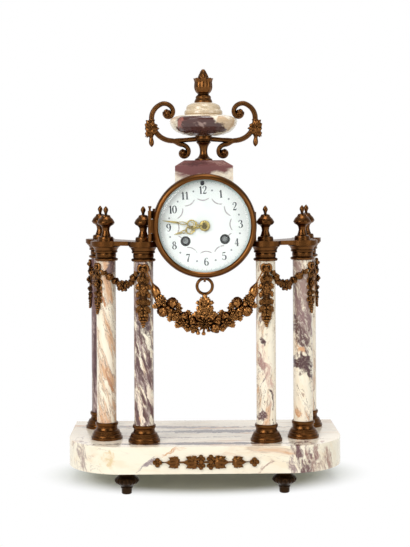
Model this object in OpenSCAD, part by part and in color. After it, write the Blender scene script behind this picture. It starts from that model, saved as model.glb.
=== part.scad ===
// Portico clock: a drum clock carried by six marble columns, with an urn on top.
// X runs to the viewer's right, the dial faces -Y and Z is up. The origin is the centre of the
// footprint on the table.

/* [Base] */
// Width of the marble plinth
base_w = 300; // [285:1:330]
// Depth of the marble plinth
base_d = 148.6; // [144:0.2:170]
// Thickness of the marble plinth
base_h = 28.9; // [22:0.1:40]
// Radius of the two front corners in plan
corner_r = 62; // [30:1:68]
// Height of the turned feet
foot_h = 26.8; // [20:0.1:36]
// Largest radius of a foot
foot_r = 13.4; // [11:0.1:16]
// Half the distance between the feet across the front
foot_x = 85.4; // [70:0.2:95]
// Distance of the feet from the front and back of the plinth
foot_inset = 28; // [24:0.5:40]
// Length of the frieze on the front of the plinth
frieze_w = 119; // [90:1:124]
// How far the frieze stands out
frieze_relief = 4; // [2.5:0.1:6]

/* [Columns] */
// Radius of a column shaft
shaft_r = 10.65; // [9:0.05:11]
// Length of a column shaft
shaft_h = 176.7; // [150:0.1:200]
// Height of the turned column base
column_base_h = 18.5; // [16:0.1:24]
// Radius of the column base's bottom flange
column_base_r = 17.2; // [15:0.1:19]
// Height of the turned capital
capital_h = 16.8; // [14:0.1:20]
// Sideways place of the front columns
front_x = 66.25; // [65.5:0.05:68]
// Sideways place of the side columns
side_x = 107.9; // [104:0.1:112]
// Sideways place of the rear columns
rear_x = 118.7; // [114:0.1:122]
// Distance of the front columns behind the plinth's front
front_in = 30.5; // [26:0.1:32]
// Distance of the side columns behind the plinth's front
side_in = 48.3; // [44:0.1:54]
// Distance of the rear columns behind the plinth's front
rear_in = 112.6; // [100:0.1:124]
// Thickness of the entablature plates
plate_t = 4.7; // [3:0.1:6]
// Radius of the entablature plates' lobes
lobe_r = 16.7; // [15.8:0.1:16.8]
// Height of a finial
finial_h = 38.4; // [30:0.1:46]
// Radius of a finial at its widest
finial_r = 9.8; // [9:0.1:10.2]
// Radius of the tie bolts in the columns
bolt_r = 2.5; // [1.5:0.1:3]

/* [Drum and bezel] */
// Outside radius of the drum
drum_r = 51.6; // [51.2:0.1:51.8]
// Wall thickness of the drum
drum_wall = 1.5; // [1:0.1:1.6]
// Length of the drum
drum_len = 81; // [80:0.5:90]
// Height of the dial's centre over the entablature plates
drum_rise = 16.9; // [16.5:0.1:22]
// Distance of the drum's front edge behind the plinth's front
drum_in = 18.3; // [17.8:0.1:18.8]
// Outside radius of the bezel
bezel_r = 56; // [55.6:0.1:57]
// Radius of the bezel's opening
sight_r = 49.6; // [48:0.1:50]
// Depth of the bezel
bezel_t = 11.7; // [11.2:0.1:13]
// Thickness of the glass
glass_t = 3.4; // [2.5:0.1:3.6]
// Angle at which the movement and dial sit in the drum
movement_turn = 2.7; // [0:0.1:4]

/* [Dial and hands] */
// Radius of the dial
dial_r = 49.7; // [48:0.1:49.7]
// Radius of the winding holes
winding_hole_r = 5.4; // [4:0.1:6]
// Half the distance between the winding holes
winding_x = 21.2; // [20.6:0.1:21.6]
// Distance of the winding holes below the dial's centre
winding_z = 15.5; // [15:0.1:16.2]
// Height of the regulator hole over the dial's centre
regulator_z = 45.5; // [44.5:0.1:45.8]
// Length of the minute hand from its centre
minute_len = 45.3; // [40:0.1:46]
// Length of the hour hand from its centre
hour_len = 34; // [28:0.1:36]
// Clockwise angle of the minute hand from the vertical
minute_angle = 277.3; // [0:0.1:360]
// Clockwise angle of the hour hand from the vertical
hour_angle = 254.3; // [0:0.1:360]

/* [Urn] */
// Width of the pedestal block
block_w = 63; // [58:0.5:66]
// Depth of the pedestal block
block_d = 60; // [50:0.5:64]
// Height of the block's edge over the drum's top
block_rise = 13; // [10:0.1:18]
// Height of the block's hipped top
hip_h = 6.4; // [4:0.1:8]
// Width of the block's flat top
hip_w = 42.6; // [38:0.2:48]
// Height of the urn's bronze foot
urn_foot_h = 27.5; // [24:0.1:32]
// Height of the marble bowl
bowl_h = 20.4; // [18:0.1:24]
// Largest radius of the bowl
bowl_r = 37.5; // [35:0.1:38]
// Height of the marble lid
lid_h = 16.1; // [14:0.1:20]
// Height of the bronze finial with its collar
urn_finial_h = 38; // [32:0.1:44]
// Sideways reach of a scroll handle's strap at its middle
handle_reach = 57.4; // [55:0.1:62]
// Half the thickness of a scroll handle's strap
strap_r = 2.7; // [2:0.1:3.2]

/* [Garlands] */
// Radius of the ring under the drum, at the middle of its wire
ring_r = 8.3; // [7:0.1:9.5]
// Radius of the ring's wire
ring_wire_r = 1.7; // [1.2:0.1:2]
// Length of the drops on the front columns
front_drop_h = 66; // [55:1:74]
// Length of the drops on the side and rear columns
outer_drop_h = 54; // [44:1:64]
// Depth by which the main garland sags
garland_sag = 43; // [34:1:48]
// Thickness of the main garland
garland_d = 15; // [12:0.5:17]

/* [Movement] */
// Thickness of the movement's plates
plate_brass_t = 2; // [1.5:0.1:2.2]
// Distance between the movement's plates
plate_gap = 37; // [36.6:0.1:39]
// Radius of the front plate
front_plate_r = 49.3; // [48.9:0.1:49.6]
// Module of most of the wheels
tooth_m = 0.4; // [0.39:0.005:0.42]
// Module of the second wheel
second_m = 0.45; // [0.44:0.005:0.455]
// Module of the centre wheel
centre_m = 0.34; // [0.335:0.005:0.345]
// Module of the third wheel
fine_m = 0.28; // [0.27:0.005:0.285]
// Module of the motion work
motion_m = 0.5; // [0.46:0.01:0.52]
// Height of the escape wheel's arbor over the dial's centre
escape_z = 22; // [21.6:0.1:22.8]
// Radius of the escape wheel
escape_r = 8.6; // [7:0.1:9]
// Length of the pendulum from its bend to the bob's centre
pendulum_len = 71.3; // [66:0.1:73]
// Radius of the pendulum's bob
bob_r = 9; // [6:0.1:10]
// Radius of the bell
bell_r = 29; // [26:0.1:30]

/* [Fits] */
// Gap round a shaft or pin that turns, on the radius
run_gap = 0.05; // [0.02:0.01:0.1]
// Gap round a part that is fixed in its seat
seat_gap = 0.1; // [0.05:0.01:0.2]
// Gap between parts that pass each other
free_gap = 0.35; // [0.3:0.05:0.5]

/* [Hidden] */
$fn = 48;
STONE = [0.86, 0.78, 0.70];
PLUM = [0.55, 0.44, 0.45];
BRONZE = [0.54, 0.36, 0.18];
BRASS = [0.78, 0.62, 0.34];
STEEL = [0.52, 0.53, 0.55];
ENAMEL = [0.93, 0.93, 0.91];
GLASS = [0.82, 0.90, 0.88, 0.4];

// Turn of the cast lumps
LUMP_TILT = [-14.2, -3.9, 3.7];

// Heights, from the table up
base_top = foot_h + base_h;
shaft_z = base_top + column_base_h;
capital_z = shaft_z + shaft_h;
plate_z = capital_z + capital_h;
plate_top = plate_z + plate_t;
drum_z = plate_top + drum_rise;
block_edge_z = drum_z + drum_r + block_rise;
block_top = block_edge_z + hip_h;
bowl_z = block_top + urn_foot_h;
lid_z = bowl_z + bowl_h;
urn_finial_z = lid_z + lid_h;

// Places in plan. The plinth is set back by half the frieze so that the footprint is centred.
plinth_front = -(base_d - frieze_relief) / 2;
plinth_back = plinth_front + base_d;
front_y = plinth_front + front_in;
side_y = plinth_front + side_in;
rear_y = plinth_front + rear_in;
LEFT = [[-front_x, front_y], [-side_x, side_y], [-rear_x, rear_y]];
RIGHT = [for (p = LEFT) [-p.x, p.y]];
COLUMNS = concat(LEFT, RIGHT);
bolt_bore = bolt_r + 0.4;
bolt_head_h = 3.5;
bolt_head_r = 4.6;

// Depths of the drum's layers, from the front to the back
drum_front = plinth_front + drum_in;
drum_back = drum_front + drum_len;
bezel_back = drum_front - 0.3;
bezel_front = bezel_back - bezel_t;
lip_t = 3;
glass_front = bezel_front + lip_t;
glass_back = glass_front + glass_t;
drum_in_r = drum_r - drum_wall;
dial_t = 1.6;
dial_front = drum_front - 1;
dial_back = dial_front + dial_t;
work_gap = 5.4;
fp_front = dial_back + work_gap;
fp_back = fp_front + plate_brass_t;
bp_front = fp_back + plate_gap;
bp_back = bp_front + plate_brass_t;
seat_t = 1.5;
seat_r = 45.8;
back_plate_r = 48;
urn_y = (drum_front + drum_back) / 2;

// Hinges of the bezel and of the rear door
knuckle_r = 2.1;
hinge_pin_r = 1.2;
bezel_hinge = [-(bezel_r + knuckle_r + free_gap), bezel_front + 4.2];
door_t = 1.6;
door_front = drum_back + 0.3;
door_hinge = [drum_r + knuckle_r + free_gap, door_front + door_t / 2];
knuckle_half = 7.5;
lug_len = 8.5;

// Teeth of the wheels and pinions
GREAT = 84;
SECOND_PINION = 12;
SECOND = 72;
CENTRE_PINION = 8;
CENTRE = 96;
THIRD_PINION = 8;
THIRD = 112;
ESCAPE_PINION = 8;
ESCAPE = 40;
CANNON = 10;
MINUTE = 30;
MINUTE_PINION = 8;
HOUR = 32;
PIN_PINION = 12;
PIN_WHEEL = 70;
FLY_PINION = 8;

// Where two circles round p and q meet, on the side that s names
function meet(p, rp, q, rq, s) =
    let (d = norm(q - p), a = (rp * rp - rq * rq + d * d) / (2 * d), u = (q - p) / d)
    p + a * u + s * sqrt(rp * rp - a * a) * [-u.y, u.x];
function mesh_distance(za, zb, m) = (za + zb) * m / 2;
function direction(p, q) = atan2(q.y - p.y, q.x - p.x);

// Places of the arbors, from the dial's centre
CENTRE_AT = [0, 0];
GOING_AT = [winding_x, -winding_z];
STRIKE_AT = [-winding_x, -winding_z];
ESCAPE_AT = [0, escape_z];
SECOND_AT = meet(CENTRE_AT, mesh_distance(SECOND, CENTRE_PINION, second_m),
    GOING_AT, mesh_distance(GREAT, SECOND_PINION, tooth_m), -1);
THIRD_AT = meet(CENTRE_AT, mesh_distance(CENTRE, THIRD_PINION, centre_m),
    ESCAPE_AT, mesh_distance(THIRD, ESCAPE_PINION, fine_m), -1);
MINUTE_AT = [0, -mesh_distance(CANNON, MINUTE, motion_m)];
pin_angle = 100;
fly_angle = 80;
PIN_AT = STRIKE_AT + mesh_distance(GREAT, PIN_PINION, tooth_m) * [cos(pin_angle), sin(pin_angle)];
FLY_AT = PIN_AT + mesh_distance(PIN_WHEEL, FLY_PINION, tooth_m) * [cos(fly_angle), sin(fly_angle)];
PALLET_AT = [0, escape_z + 12.4];
HAMMER_AT = [-40, 8];
REGULATOR_AT = [0, regulator_z];
PILLARS = [for (a = [38, 142, 250, 290]) 43 * [cos(a), sin(a)]];
SCREWS = [for (a = [60, 180, 300]) (seat_r + 1.8) * [cos(a), sin(a)]];
DIAL_FEET = [for (a = [30, 150, 270]) 30 * [cos(a), sin(a)]];

// Depths of the wheels, from the front plate's back
great_y = fp_back + 1.5;
great_t = 2;
barrel_y = great_y + great_t;
barrel_t = 15;
barrel_r = 15;
wheel_t = 1.4;
second_y = barrel_y + barrel_t + 1.5;
centre_y = second_y + 4;
third_y = centre_y + 4.5;
escape_y = third_y + 4.1;
arbor_r = 1.2;
train_arbor_r = 0.7;
pivot_r = 0.5;
winding_arbor_r = 3;
winding_tail_r = 1.6;
square_w = 4.2;
pipe_r = 1.9;
hour_pipe_r = pipe_r + run_gap + 0.8;
hand_t = 0.8;
hour_hand_y = dial_front - 1.9;
minute_hand_y = hour_hand_y - 0.6 - hand_t;
cannon_y = fp_front - 2.6;
hour_wheel_y = dial_back + 0.6;
crutch_y = bp_back + 1;
bridge_y = crutch_y + 2;
bridge_t = 1.6;
pendulum_y = bridge_y + bridge_t + 2.8;
bell_y = pendulum_y + 5;
bell_depth = 13.5;
bell_t = 1.6;
hammer_head_r = 2.8;
hammer_y = bell_y + 1.4;
stand_x = 13;

function polar(r, a) = [r * cos(a), r * sin(a)];

// Outline of a wheel: each tooth is a root, a flank, a tip, a flank and a root
function wheel_points(z, m, add, ded, share, tip, root) =
    let (p = 360 / z, r = z * m / 2)
    [for (i = [0 : z - 1]) each [
        polar(r - ded * m, p * (i - root / 2)),
        polar(r, p * (i - share / 2)),
        polar(r + add * m, p * (i - tip / 2)),
        polar(r + add * m, p * (i + tip / 2)),
        polar(r, p * (i + share / 2)),
        polar(r - ded * m, p * (i + root / 2))]];

module wheel_2d(z, m) {
    polygon(wheel_points(z, m, 1, 1.3, 0.40, 0.14, 0.56));
}

module pinion_2d(z, m) {
    polygon(wheel_points(z, m, 0.7, 1.35, 0.32, 0.12, 0.36));
}

// Turns a flat XY shape to stand in the XZ plane, from depth y0 to y1
module slab(y0, y1) {
    translate([0, y1, 0])
        rotate([90, 0, 0])
            linear_extrude(height = y1 - y0)
                children();
}

// Round bar along Y at a place p in the XZ plane
module bar(p, r, y0, y1) {
    translate([p.x, y1, p.y])
        rotate([90, 0, 0])
            cylinder(r = r, h = y1 - y0);
}

// Upright turned shape from a list of [radius, height] points, bored through
module turned(points, bore, h) {
    difference() {
        rotate_extrude()
            polygon(points);
        if (bore > 0)
            translate([0, 0, -1])
                cylinder(r = bore, h = h + 2);
    }
}

// Places children at the dial's centre, turned as the movement sits
module in_movement() {
    translate([0, 0, drum_z])
        rotate([0, -movement_turn, 0])
            children();
}

// Wheel with four crossings cut out between its rim and its hub
module crossed_wheel(z, m, hub_r) {
    rim_r = z * m / 2 - 3.2 * m - 0.6;
    difference() {
        wheel_2d(z, m);
        difference() {
            circle(r = rim_r);
            circle(r = hub_r);
            for (a = [0, 90])
                rotate(a)
                    square([2 * rim_r, 1.6], center = true);
        }
    }
}

// Steel arbor between the plates with a pivot in each
module arbor(p) {
    bar(p, train_arbor_r, fp_back + free_gap, bp_front - free_gap);
    bar(p, pivot_r, fp_front, bp_back);
}

// A rounded lump of cast ornament, slightly askew so that its corners don't line up with its neighbours'
module lump(p, s) {
    translate(p)
        rotate(LUMP_TILT)
            scale(s)
                sphere(r = 1, $fn = 6);
}

// Closed skin over rings of m points each, with the rings turning left-handed along the run
module skin(points, m) {
    n = len(points) / m;
    walls = [for (i = [0 : n - 2]) for (k = [0 : m - 1])
        let (a = i * m + k, b = i * m + (k + 1) % m) each
            [[a, b, b + m], [a, b + m, a + m]]];
    first = [[for (k = [m - 1 : -1 : 0]) k]];
    last = [[for (k = [0 : m - 1]) (n - 1) * m + k]];
    polyhedron(points = points, faces = concat(walls, first, last), convexity = 8);
}

// Rings of an oval tube along a path; across and deep are its half sizes at each point of the path
function unit(v) = v / norm(v);
function tube_points(path, across, deep, ref, m, bump) =
    let (n = len(path))
    [for (i = [0 : n - 1])
        let (
            along = unit(path[min(i + 1, n - 1)] - path[max(i - 1, 0)]),
            side = unit(ref - (ref * along) * along),
            other = cross(along, side))
        for (k = [0 : m - 1])
            let (a = 360 * k / m, f = 1 + bump * cos(3 * a + 137.5 * i))
            path[i] + f * (across[i] * cos(a) * other + deep[i] * sin(a) * side)];

// Flower of five petals round a boss, facing -Y, as one closed skin
module bloom(r) {
    m = 10;
    skin([for (ring = [[0.34, 0.42, 0], [0.06, 0.84, 0.16], [-0.16, 0.66, 0.1], [-0.02, 0.36, 0], [-0.22, 0.27, 0],
        [-0.34, 0.14, 0]])
        for (k = [0 : m - 1])
            let (a = 360 * k / m, d = r * (ring[1] + ring[2] * cos(5 * a)))
            [d * sin(a), r * ring[0], d * cos(a)]], m);
}

// Pointed leaf along +Z, facing -Y
module leaf(l, w) {
    hull() {
        lump([0, 0, 0.12 * l], [0.24 * w, 0.2 * w, 0.12 * l]);
        lump([0, -0.12 * w, 0.45 * l], [0.5 * w, 0.2 * w, 0.2 * l]);
        lump([0, 0.05 * w, 0.92 * l], [0.1 * w, 0.12 * w, 0.08 * l]);
    }
}

// Relief of cast work that runs down from z = 0 with its back on the plane y = 0, or on a shaft of radius r.
// Each station is [height, half width, [relief at nine places across]].
function laid(x, y, r) =
    r == 0 ? [x, -y] : let (a = x / r * 180 / PI) [(r + y) * sin(a), r - (r + y) * cos(a)];
module relief(stations, r, edge) {
    front = [for (k = [0 : 8]) k / 4 - 1];
    back = [0.6, 0.2, -0.2, -0.6];
    skin([for (st = stations) each concat(
        [for (k = [0 : 8]) let (q = laid(front[k] * st[1], edge + st[2][k], r)) [q.x, q.y, st[0]]],
        [for (u = back) let (q = laid(u * st[1], 0, r)) [q.x, q.y, st[0]]])], 13);
}

// Relief of a flower at a distance x, z from its middle, from 0 to 1
function bloom_h(x, z, r) =
    let (d = norm([x, z]) / r, a = atan2(x, z), p = 0.86 + 0.14 * cos(5 * a))
    d < 0.26 ? 1 - d * d : d < 0.4 ? 0.4 + 0.1 * d : d < p ? 0.45 + 0.4 * sin(180 * (d - 0.4) / (p - 0.4)) : 0;
function round_w(d, r) = abs(d) < r ? sqrt(r * r - d * d) : 0;

// Base

module base_outline() {
    half = base_w / 2;
    hull_y = plinth_front + corner_r;
    translate([-half, hull_y])
        square([base_w, plinth_back - hull_y]);
    translate([-half + corner_r, plinth_front])
        square([base_w - 2 * corner_r, corner_r + 1]);
    for (s = [-1, 1])
        translate([s * (half - corner_r), hull_y])
            circle(r = corner_r, $fn = 96);
}

module base_plinth() {
    color(STONE)
        difference() {
            translate([0, 0, foot_h])
                linear_extrude(height = base_h)
                    base_outline();
            for (p = COLUMNS) {
                translate([p.x, p.y, foot_h - 1])
                    cylinder(r = bolt_bore, h = base_h + 2);
                translate([p.x, p.y, foot_h - 1])
                    cylinder(r = bolt_head_r + 1, h = bolt_head_h + 2);
            }
        }
}

module foot() {
    waist = foot_r * 0.42;
    turned([[0, 0], [waist - 1, 0], [waist - 0.2, 1.2], [waist, foot_h * 0.24], [waist + 0.8, foot_h * 0.28],
        [foot_r * 0.86, foot_h * 0.42], [foot_r, foot_h * 0.5], [foot_r, foot_h * 0.57],
        [foot_r * 0.92, foot_h * 0.64], [foot_r * 0.68, foot_h * 0.75], [foot_r * 0.64, foot_h * 0.84],
        [foot_r * 0.82, foot_h * 0.89], [foot_r * 0.82, foot_h], [0, foot_h]], 0, foot_h);
}

module feet() {
    color(BRONZE)
        for (x = [-foot_x, foot_x])
            for (y = [plinth_front + foot_inset, plinth_back - foot_inset])
                translate([x, y, 0])
                    foot();
}

// Two rosettes in the middle, with three leaves that point outwards from them on each side
rosette_x = frieze_w * 0.049;
rosette_r = base_h * 0.23;
leaf_start = frieze_w * 0.1;
leaf_pitch = (frieze_w / 2 - leaf_start - 2) / 3;
function frieze_leaf(s) =
    let (k = min(floor((s - leaf_start) / leaf_pitch), 2), t = (s - leaf_start) / leaf_pitch - k)
    s < leaf_start ? [0, 0] : [base_h * (0.25 - 0.035 * k) * pow(sin(180 * min(t, 1)), 0.7), t];
function frieze_w_at(s) = max(1.5, round_w(s - rosette_x, rosette_r), frieze_leaf(s)[0]);
function frieze_h_at(s, x, w) =
    let (v = frieze_leaf(s), u = abs(x) / w)
    max(bloom_h(x, s - rosette_x, rosette_r),
        v[0] == 0 ? 0.1 : (0.25 + 0.45 * (1 - u) * (1 - 0.5 * v[1]) + 0.2 * abs(sin(540 * u + 200 * v[1]))));

module frieze_mount() {
    mid_z = foot_h + base_h * 0.44;
    steps = 52;
    edge = frieze_relief * 0.2;
    color(BRONZE)
        translate([0, plinth_front, mid_z])
            rotate([0, 90, 0])
                relief([for (i = [0 : steps])
                    let (z = frieze_w * (0.5 - i / steps), s = abs(z), w = frieze_w_at(s))
                    [z, w, [for (k = [0 : 8]) let (x = (k / 4 - 1) * w)
                        k % 8 == 0 ? 0 : (frieze_relief - edge) * frieze_h_at(s, x, w)]]], 0, edge);
}

// Columns

module column_shaft(p) {
    translate([p.x, p.y, shaft_z])
        turned([[0, 0], [shaft_r, 0], [shaft_r, shaft_h], [0, shaft_h]], bolt_bore, shaft_h);
}

module column_front_left() { color(PLUM) column_shaft(LEFT[0]); }
module column_side_left() { color(STONE) column_shaft(LEFT[1]); }
module column_rear_left() { color(PLUM) column_shaft(LEFT[2]); }
module column_front_right() { color(STONE) column_shaft(RIGHT[0]); }
module column_side_right() { color(PLUM) column_shaft(RIGHT[1]); }
module column_rear_right() { color(STONE) column_shaft(RIGHT[2]); }

module column_bases() {
    h = column_base_h;
    r = column_base_r;
    neck = shaft_r + 0.6;
    rim = shaft_r + 1.9;
    color(BRONZE)
        for (p = COLUMNS)
            translate([p.x, p.y, base_top])
                turned([[0, 0], [r, 0], [r, h * 0.14], [r - 1, h * 0.17], [r - 1.3, h * 0.22],
                    [r - 1.2, h * 0.3], [r - 2.4, h * 0.34], [r - 2.4, h * 0.4], [r - 3.2, h * 0.46],
                    [r - 3.2, h * 0.5], [neck + 0.8, h * 0.56], [neck, h * 0.68], [neck + 0.2, h * 0.76],
                    [rim - 0.4, h * 0.82], [rim, h * 0.87], [rim, h * 0.95], [rim - 0.6, h], [0, h]],
                    bolt_bore, h);
}

module column_capitals() {
    h = capital_h;
    neck = shaft_r + 2.5;
    bell = shaft_r + 0.6;
    color(BRONZE)
        for (p = COLUMNS)
            translate([p.x, p.y, capital_z])
                turned([[0, 0], [neck - 0.7, 0], [neck, h * 0.06], [neck, h * 0.13], [neck - 0.9, h * 0.17],
                    [shaft_r + 0.2, h * 0.2], [bell, h * 0.3], [bell, h * 0.42], [shaft_r + 0.3, h * 0.5],
                    [shaft_r + 2, h * 0.54], [shaft_r + 2.1, h * 0.62], [shaft_r + 1.5, h * 0.66],
                    [shaft_r + 2.5, h * 0.78], [shaft_r + 3.6, h * 0.88], [lobe_r - 1.2, h * 0.92],
                    [lobe_r - 1.2, h], [0, h]], bolt_bore, h);
}

// Trefoil plate: a lobe over each column of one side, joined by narrower webs
module entablature(side) {
    web_r = lobe_r * 0.55;
    difference() {
        translate([0, 0, plate_z])
            linear_extrude(height = plate_t) {
                polygon([for (p = side) p]);
                for (p = side)
                    translate(p)
                        circle(r = lobe_r);
                for (k = [0 : 2]) {
                    a = side[k];
                    b = side[(k + 1) % 3];
                    translate(a)
                        rotate(direction(a, b))
                            translate([0, -web_r])
                                square([norm(b - a), 2 * web_r]);
                }
            }
        for (p = side)
            translate([p.x, p.y, plate_z - 1])
                cylinder(r = bolt_bore, h = plate_t + 2);
    }
}

module entablature_left() { color(BRONZE) mirror([1, 0, 0]) entablature(RIGHT); }
module entablature_right() { color(BRONZE) entablature(RIGHT); }

bolt_top = plate_top + finial_h * 0.26;

module column_finials() {
    h = finial_h;
    dome = finial_r;
    foot = dome - 1.2;
    neck = bolt_r + 1.3;
    color(BRONZE)
        for (p = COLUMNS)
            translate([p.x, p.y, plate_top])
                difference() {
                    turned([[0, 0], [foot, 0], [foot, h * 0.07], [foot - 0.6, h * 0.115], [foot - 3, h * 0.135],
                        [neck + 0.8, h * 0.21], [neck, h * 0.29], [neck + 0.6, h * 0.38], [neck + 2, h * 0.43],
                        [dome - 1.5, h * 0.465], [dome, h * 0.52], [dome - 0.5, h * 0.555], [dome - 1.9, h * 0.62],
                        [dome - 4.6, h * 0.69], [dome - 5.2, h * 0.735], [1.4, h * 0.76], [1.8, h * 0.81],
                        [2.9, h * 0.88], [2.3, h * 0.93], [1.2, h * 0.97], [0, h]], 0, h);
                    translate([0, 0, -1])
                        cylinder(r = bolt_r + run_gap, h = bolt_top - plate_top + 1);
                }
}

// Six bolts from the plinth's underside into the finials, and one from the drum up the urn
urn_bolt_top = urn_finial_z + urn_finial_h * 0.3;
urn_bolt_r = 2;

module tie_bolts() {
    urn_head_top = drum_z + drum_in_r - 0.3;
    color(STEEL) {
        for (p = COLUMNS)
            translate([p.x, p.y, foot_h + 1]) {
                cylinder(r = bolt_head_r, h = bolt_head_h, $fn = 6);
                cylinder(r = bolt_r, h = bolt_top - foot_h - 1 - free_gap);
            }
        translate([0, urn_y, urn_head_top - 2]) {
            cylinder(r = bolt_head_r - 0.6, h = 2, $fn = 6);
            cylinder(r = urn_bolt_r, h = urn_bolt_top - urn_head_top + 2 - free_gap);
        }
    }
}

// Drum

// Upright saddle that matches the drum's outside
module drum_cut(gap) {
    translate([0, drum_front - 20, drum_z])
        rotate([-90, 0, 0])
            cylinder(r = drum_r + gap, h = drum_len + 40, $fn = 96);
}

module door_knuckles() {
    lug_y = drum_back - 4.5;
    for (s = [-1, 1])
        translate([door_hinge.x, 0, drum_z + s * (knuckle_half + lug_len / 2 + free_gap)])
            difference() {
                union() {
                    translate([0, door_hinge.y, 0])
                        cylinder(r = knuckle_r, h = lug_len, center = true);
                    translate([-knuckle_r * 2.4, lug_y, -lug_len / 2])
                        cube([knuckle_r * 2.4 + 0.5, 4.5, lug_len]);
                    translate([-knuckle_r * 0.9, lug_y, -lug_len / 2])
                        cube([knuckle_r * 1.8, door_hinge.y - lug_y, lug_len]);
                }
                translate([0, door_hinge.y, 0])
                    cylinder(r = hinge_pin_r + run_gap, h = lug_len + 2, center = true);
            }
}

module drum_case() {
    flange_r = bezel_r - 1.5;
    flange_t = 1.5;
    color(BRONZE)
        difference() {
            union() {
                translate([0, drum_front, drum_z])
                    rotate([-90, 0, 0])
                        rotate_extrude($fn = 96)
                            polygon([[drum_in_r, 0], [flange_r, 0], [flange_r, flange_t], [drum_r, flange_t],
                                [drum_r, drum_len], [drum_in_r, drum_len], [drum_in_r, fp_back + seat_t - drum_front],
                                [seat_r, fp_back + seat_t - drum_front], [seat_r, fp_back - drum_front],
                                [drum_in_r, fp_back - drum_front]]);
                difference() {
                    door_knuckles();
                    drum_cut(-drum_wall / 2);
                }
            }
            in_movement() {
                for (p = SCREWS)
                    bar(p, 1 + seat_gap, fp_back - 1, fp_back + seat_t + 1);
                bar(REGULATOR_AT, arbor_r + 1.2, fp_back - 1, fp_back + seat_t + 1);
            }
            translate([0, urn_y, drum_z])
                cylinder(r = urn_bolt_r + 0.3, h = drum_r + 10);
            translate([0, ring_y, drum_z - drum_r - 1])
                cylinder(r = 1.2 + seat_gap, h = drum_wall + 2);
        }
}

// Cheek that stands on the front lobe and holds the side of the drum
module bracket(h) {
    outer = front_x - finial_r - 0.7;
    depth = lobe_r * 1.06;
    difference() {
        translate([-outer, front_y - depth / 2 - 1.6, plate_top])
            cube([outer - drum_r + 6, depth, h]);
        drum_cut(seat_gap);
    }
}

module bracket_left() {
    outer = front_x - finial_r - 0.7;
    rear = front_y - lobe_r * 0.53 + 1.6;
    color(BRONZE) {
        bracket(drum_rise + 18.5);
        for (s = [-1, 1])
            translate([bezel_hinge.x, bezel_hinge.y, drum_z + s * (knuckle_half + lug_len / 2 + free_gap)])
                difference() {
                    union() {
                        cylinder(r = knuckle_r, h = lug_len, center = true);
                        translate([-knuckle_r, 0, -lug_len / 2])
                            cube([knuckle_r * 2, rear - bezel_hinge.y, lug_len]);
                        translate([-knuckle_r, rear - bezel_hinge.y - 2.5, -lug_len / 2])
                            cube([-outer + 2 - bezel_hinge.x + knuckle_r, 2.5, lug_len]);
                    }
                    cylinder(r = hinge_pin_r + run_gap, h = lug_len + 2, center = true);
                }
    }
}

module bracket_right() {
    color(BRONZE)
        mirror([1, 0, 0])
            bracket(drum_rise + 14.5);
}

// Round moulded bezel with a rebate for the glass and a knuckle on its left side
module bezel() {
    t = bezel_t;
    rebate = dial_r + 1.1;
    color(BRONZE)
        difference() {
            union() {
                translate([0, bezel_back, drum_z])
                    rotate([90, 0, 0])
                        rotate_extrude($fn = 96)
                            polygon([[rebate, 0], [bezel_r - 0.6, 0], [bezel_r, 1], [bezel_r, t * 0.34],
                                [bezel_r - 0.7, t * 0.42], [bezel_r - 0.7, t * 0.5], [bezel_r - 0.2, t * 0.56],
                                [bezel_r - 0.9, t * 0.76], [bezel_r - 2.6, t * 0.93], [bezel_r - 4.2, t],
                                [sight_r + 1.4, t * 0.97], [sight_r, t * 0.86], [sight_r, t - lip_t],
                                [rebate, t - lip_t]]);
                translate([bezel_hinge.x, bezel_hinge.y, drum_z]) {
                    cylinder(r = knuckle_r, h = 2 * knuckle_half, center = true);
                    translate([0, -knuckle_r * 0.8, -knuckle_half])
                        cube([knuckle_r + 3, knuckle_r * 1.6, 2 * knuckle_half]);
                }
            }
            translate([bezel_hinge.x, bezel_hinge.y, drum_z])
                cylinder(r = hinge_pin_r + run_gap, h = 4 * knuckle_half, center = true);
        }
}

module bezel_glass() {
    r = dial_r + 1.1 - seat_gap;
    bevel = 4;
    color(GLASS)
        translate([0, glass_back, drum_z])
            rotate([90, 0, 0])
                rotate_extrude($fn = 96)
                    polygon([[0, 0], [r, 0], [r, glass_t * 0.55], [sight_r, glass_t * 0.55],
                        [sight_r - bevel, glass_t - 0.4], [0, glass_t - 0.4]]);
}

module hinge_pins() {
    reach = knuckle_half + lug_len + free_gap;
    color(BRASS) {
        translate([bezel_hinge.x, bezel_hinge.y, drum_z - reach]) {
            cylinder(r = hinge_pin_r, h = 2 * reach + 4);
            translate([0, 0, 2 * reach + 3.4])
                cylinder(r = hinge_pin_r + 0.6, h = 1.8);
        }
        translate([door_hinge.x, door_hinge.y, drum_z - reach]) {
            cylinder(r = hinge_pin_r, h = 2 * reach + 1);
            translate([0, 0, 2 * reach + 0.3])
                cylinder(r = hinge_pin_r + 0.6, h = 1.2);
        }
    }
}

// Hinged lid at the back of the drum, with a turned knob
module rear_door() {
    color(BRASS)
        difference() {
            union() {
                translate([0, door_front, drum_z])
                    rotate([-90, 0, 0])
                        rotate_extrude($fn = 96)
                            polygon([[0, 0.4], [drum_in_r - 4, 0.4], [drum_in_r - 3, 0], [drum_r, 0],
                                [drum_r, door_t * 0.7], [drum_r - 0.5, door_t], [0, door_t]]);
                translate([-drum_r * 0.78, door_front + door_t - 0.2, drum_z])
                    rotate([-90, 0, 0])
                        turned([[0, 0], [1.6, 0], [1.4, 2.4], [3, 3.6], [3, 5], [2, 6], [0, 6.2]], 0, 6);
                translate([door_hinge.x, door_hinge.y, drum_z]) {
                    cylinder(r = knuckle_r, h = 2 * knuckle_half, center = true);
                    translate([-knuckle_r - 3, -door_t / 2, -knuckle_half])
                        cube([knuckle_r + 3, door_t, 2 * knuckle_half]);
                }
            }
            translate([door_hinge.x, door_hinge.y, drum_z])
                cylinder(r = hinge_pin_r + run_gap, h = 4 * knuckle_half, center = true);
        }
}

// Dial and hands

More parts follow.
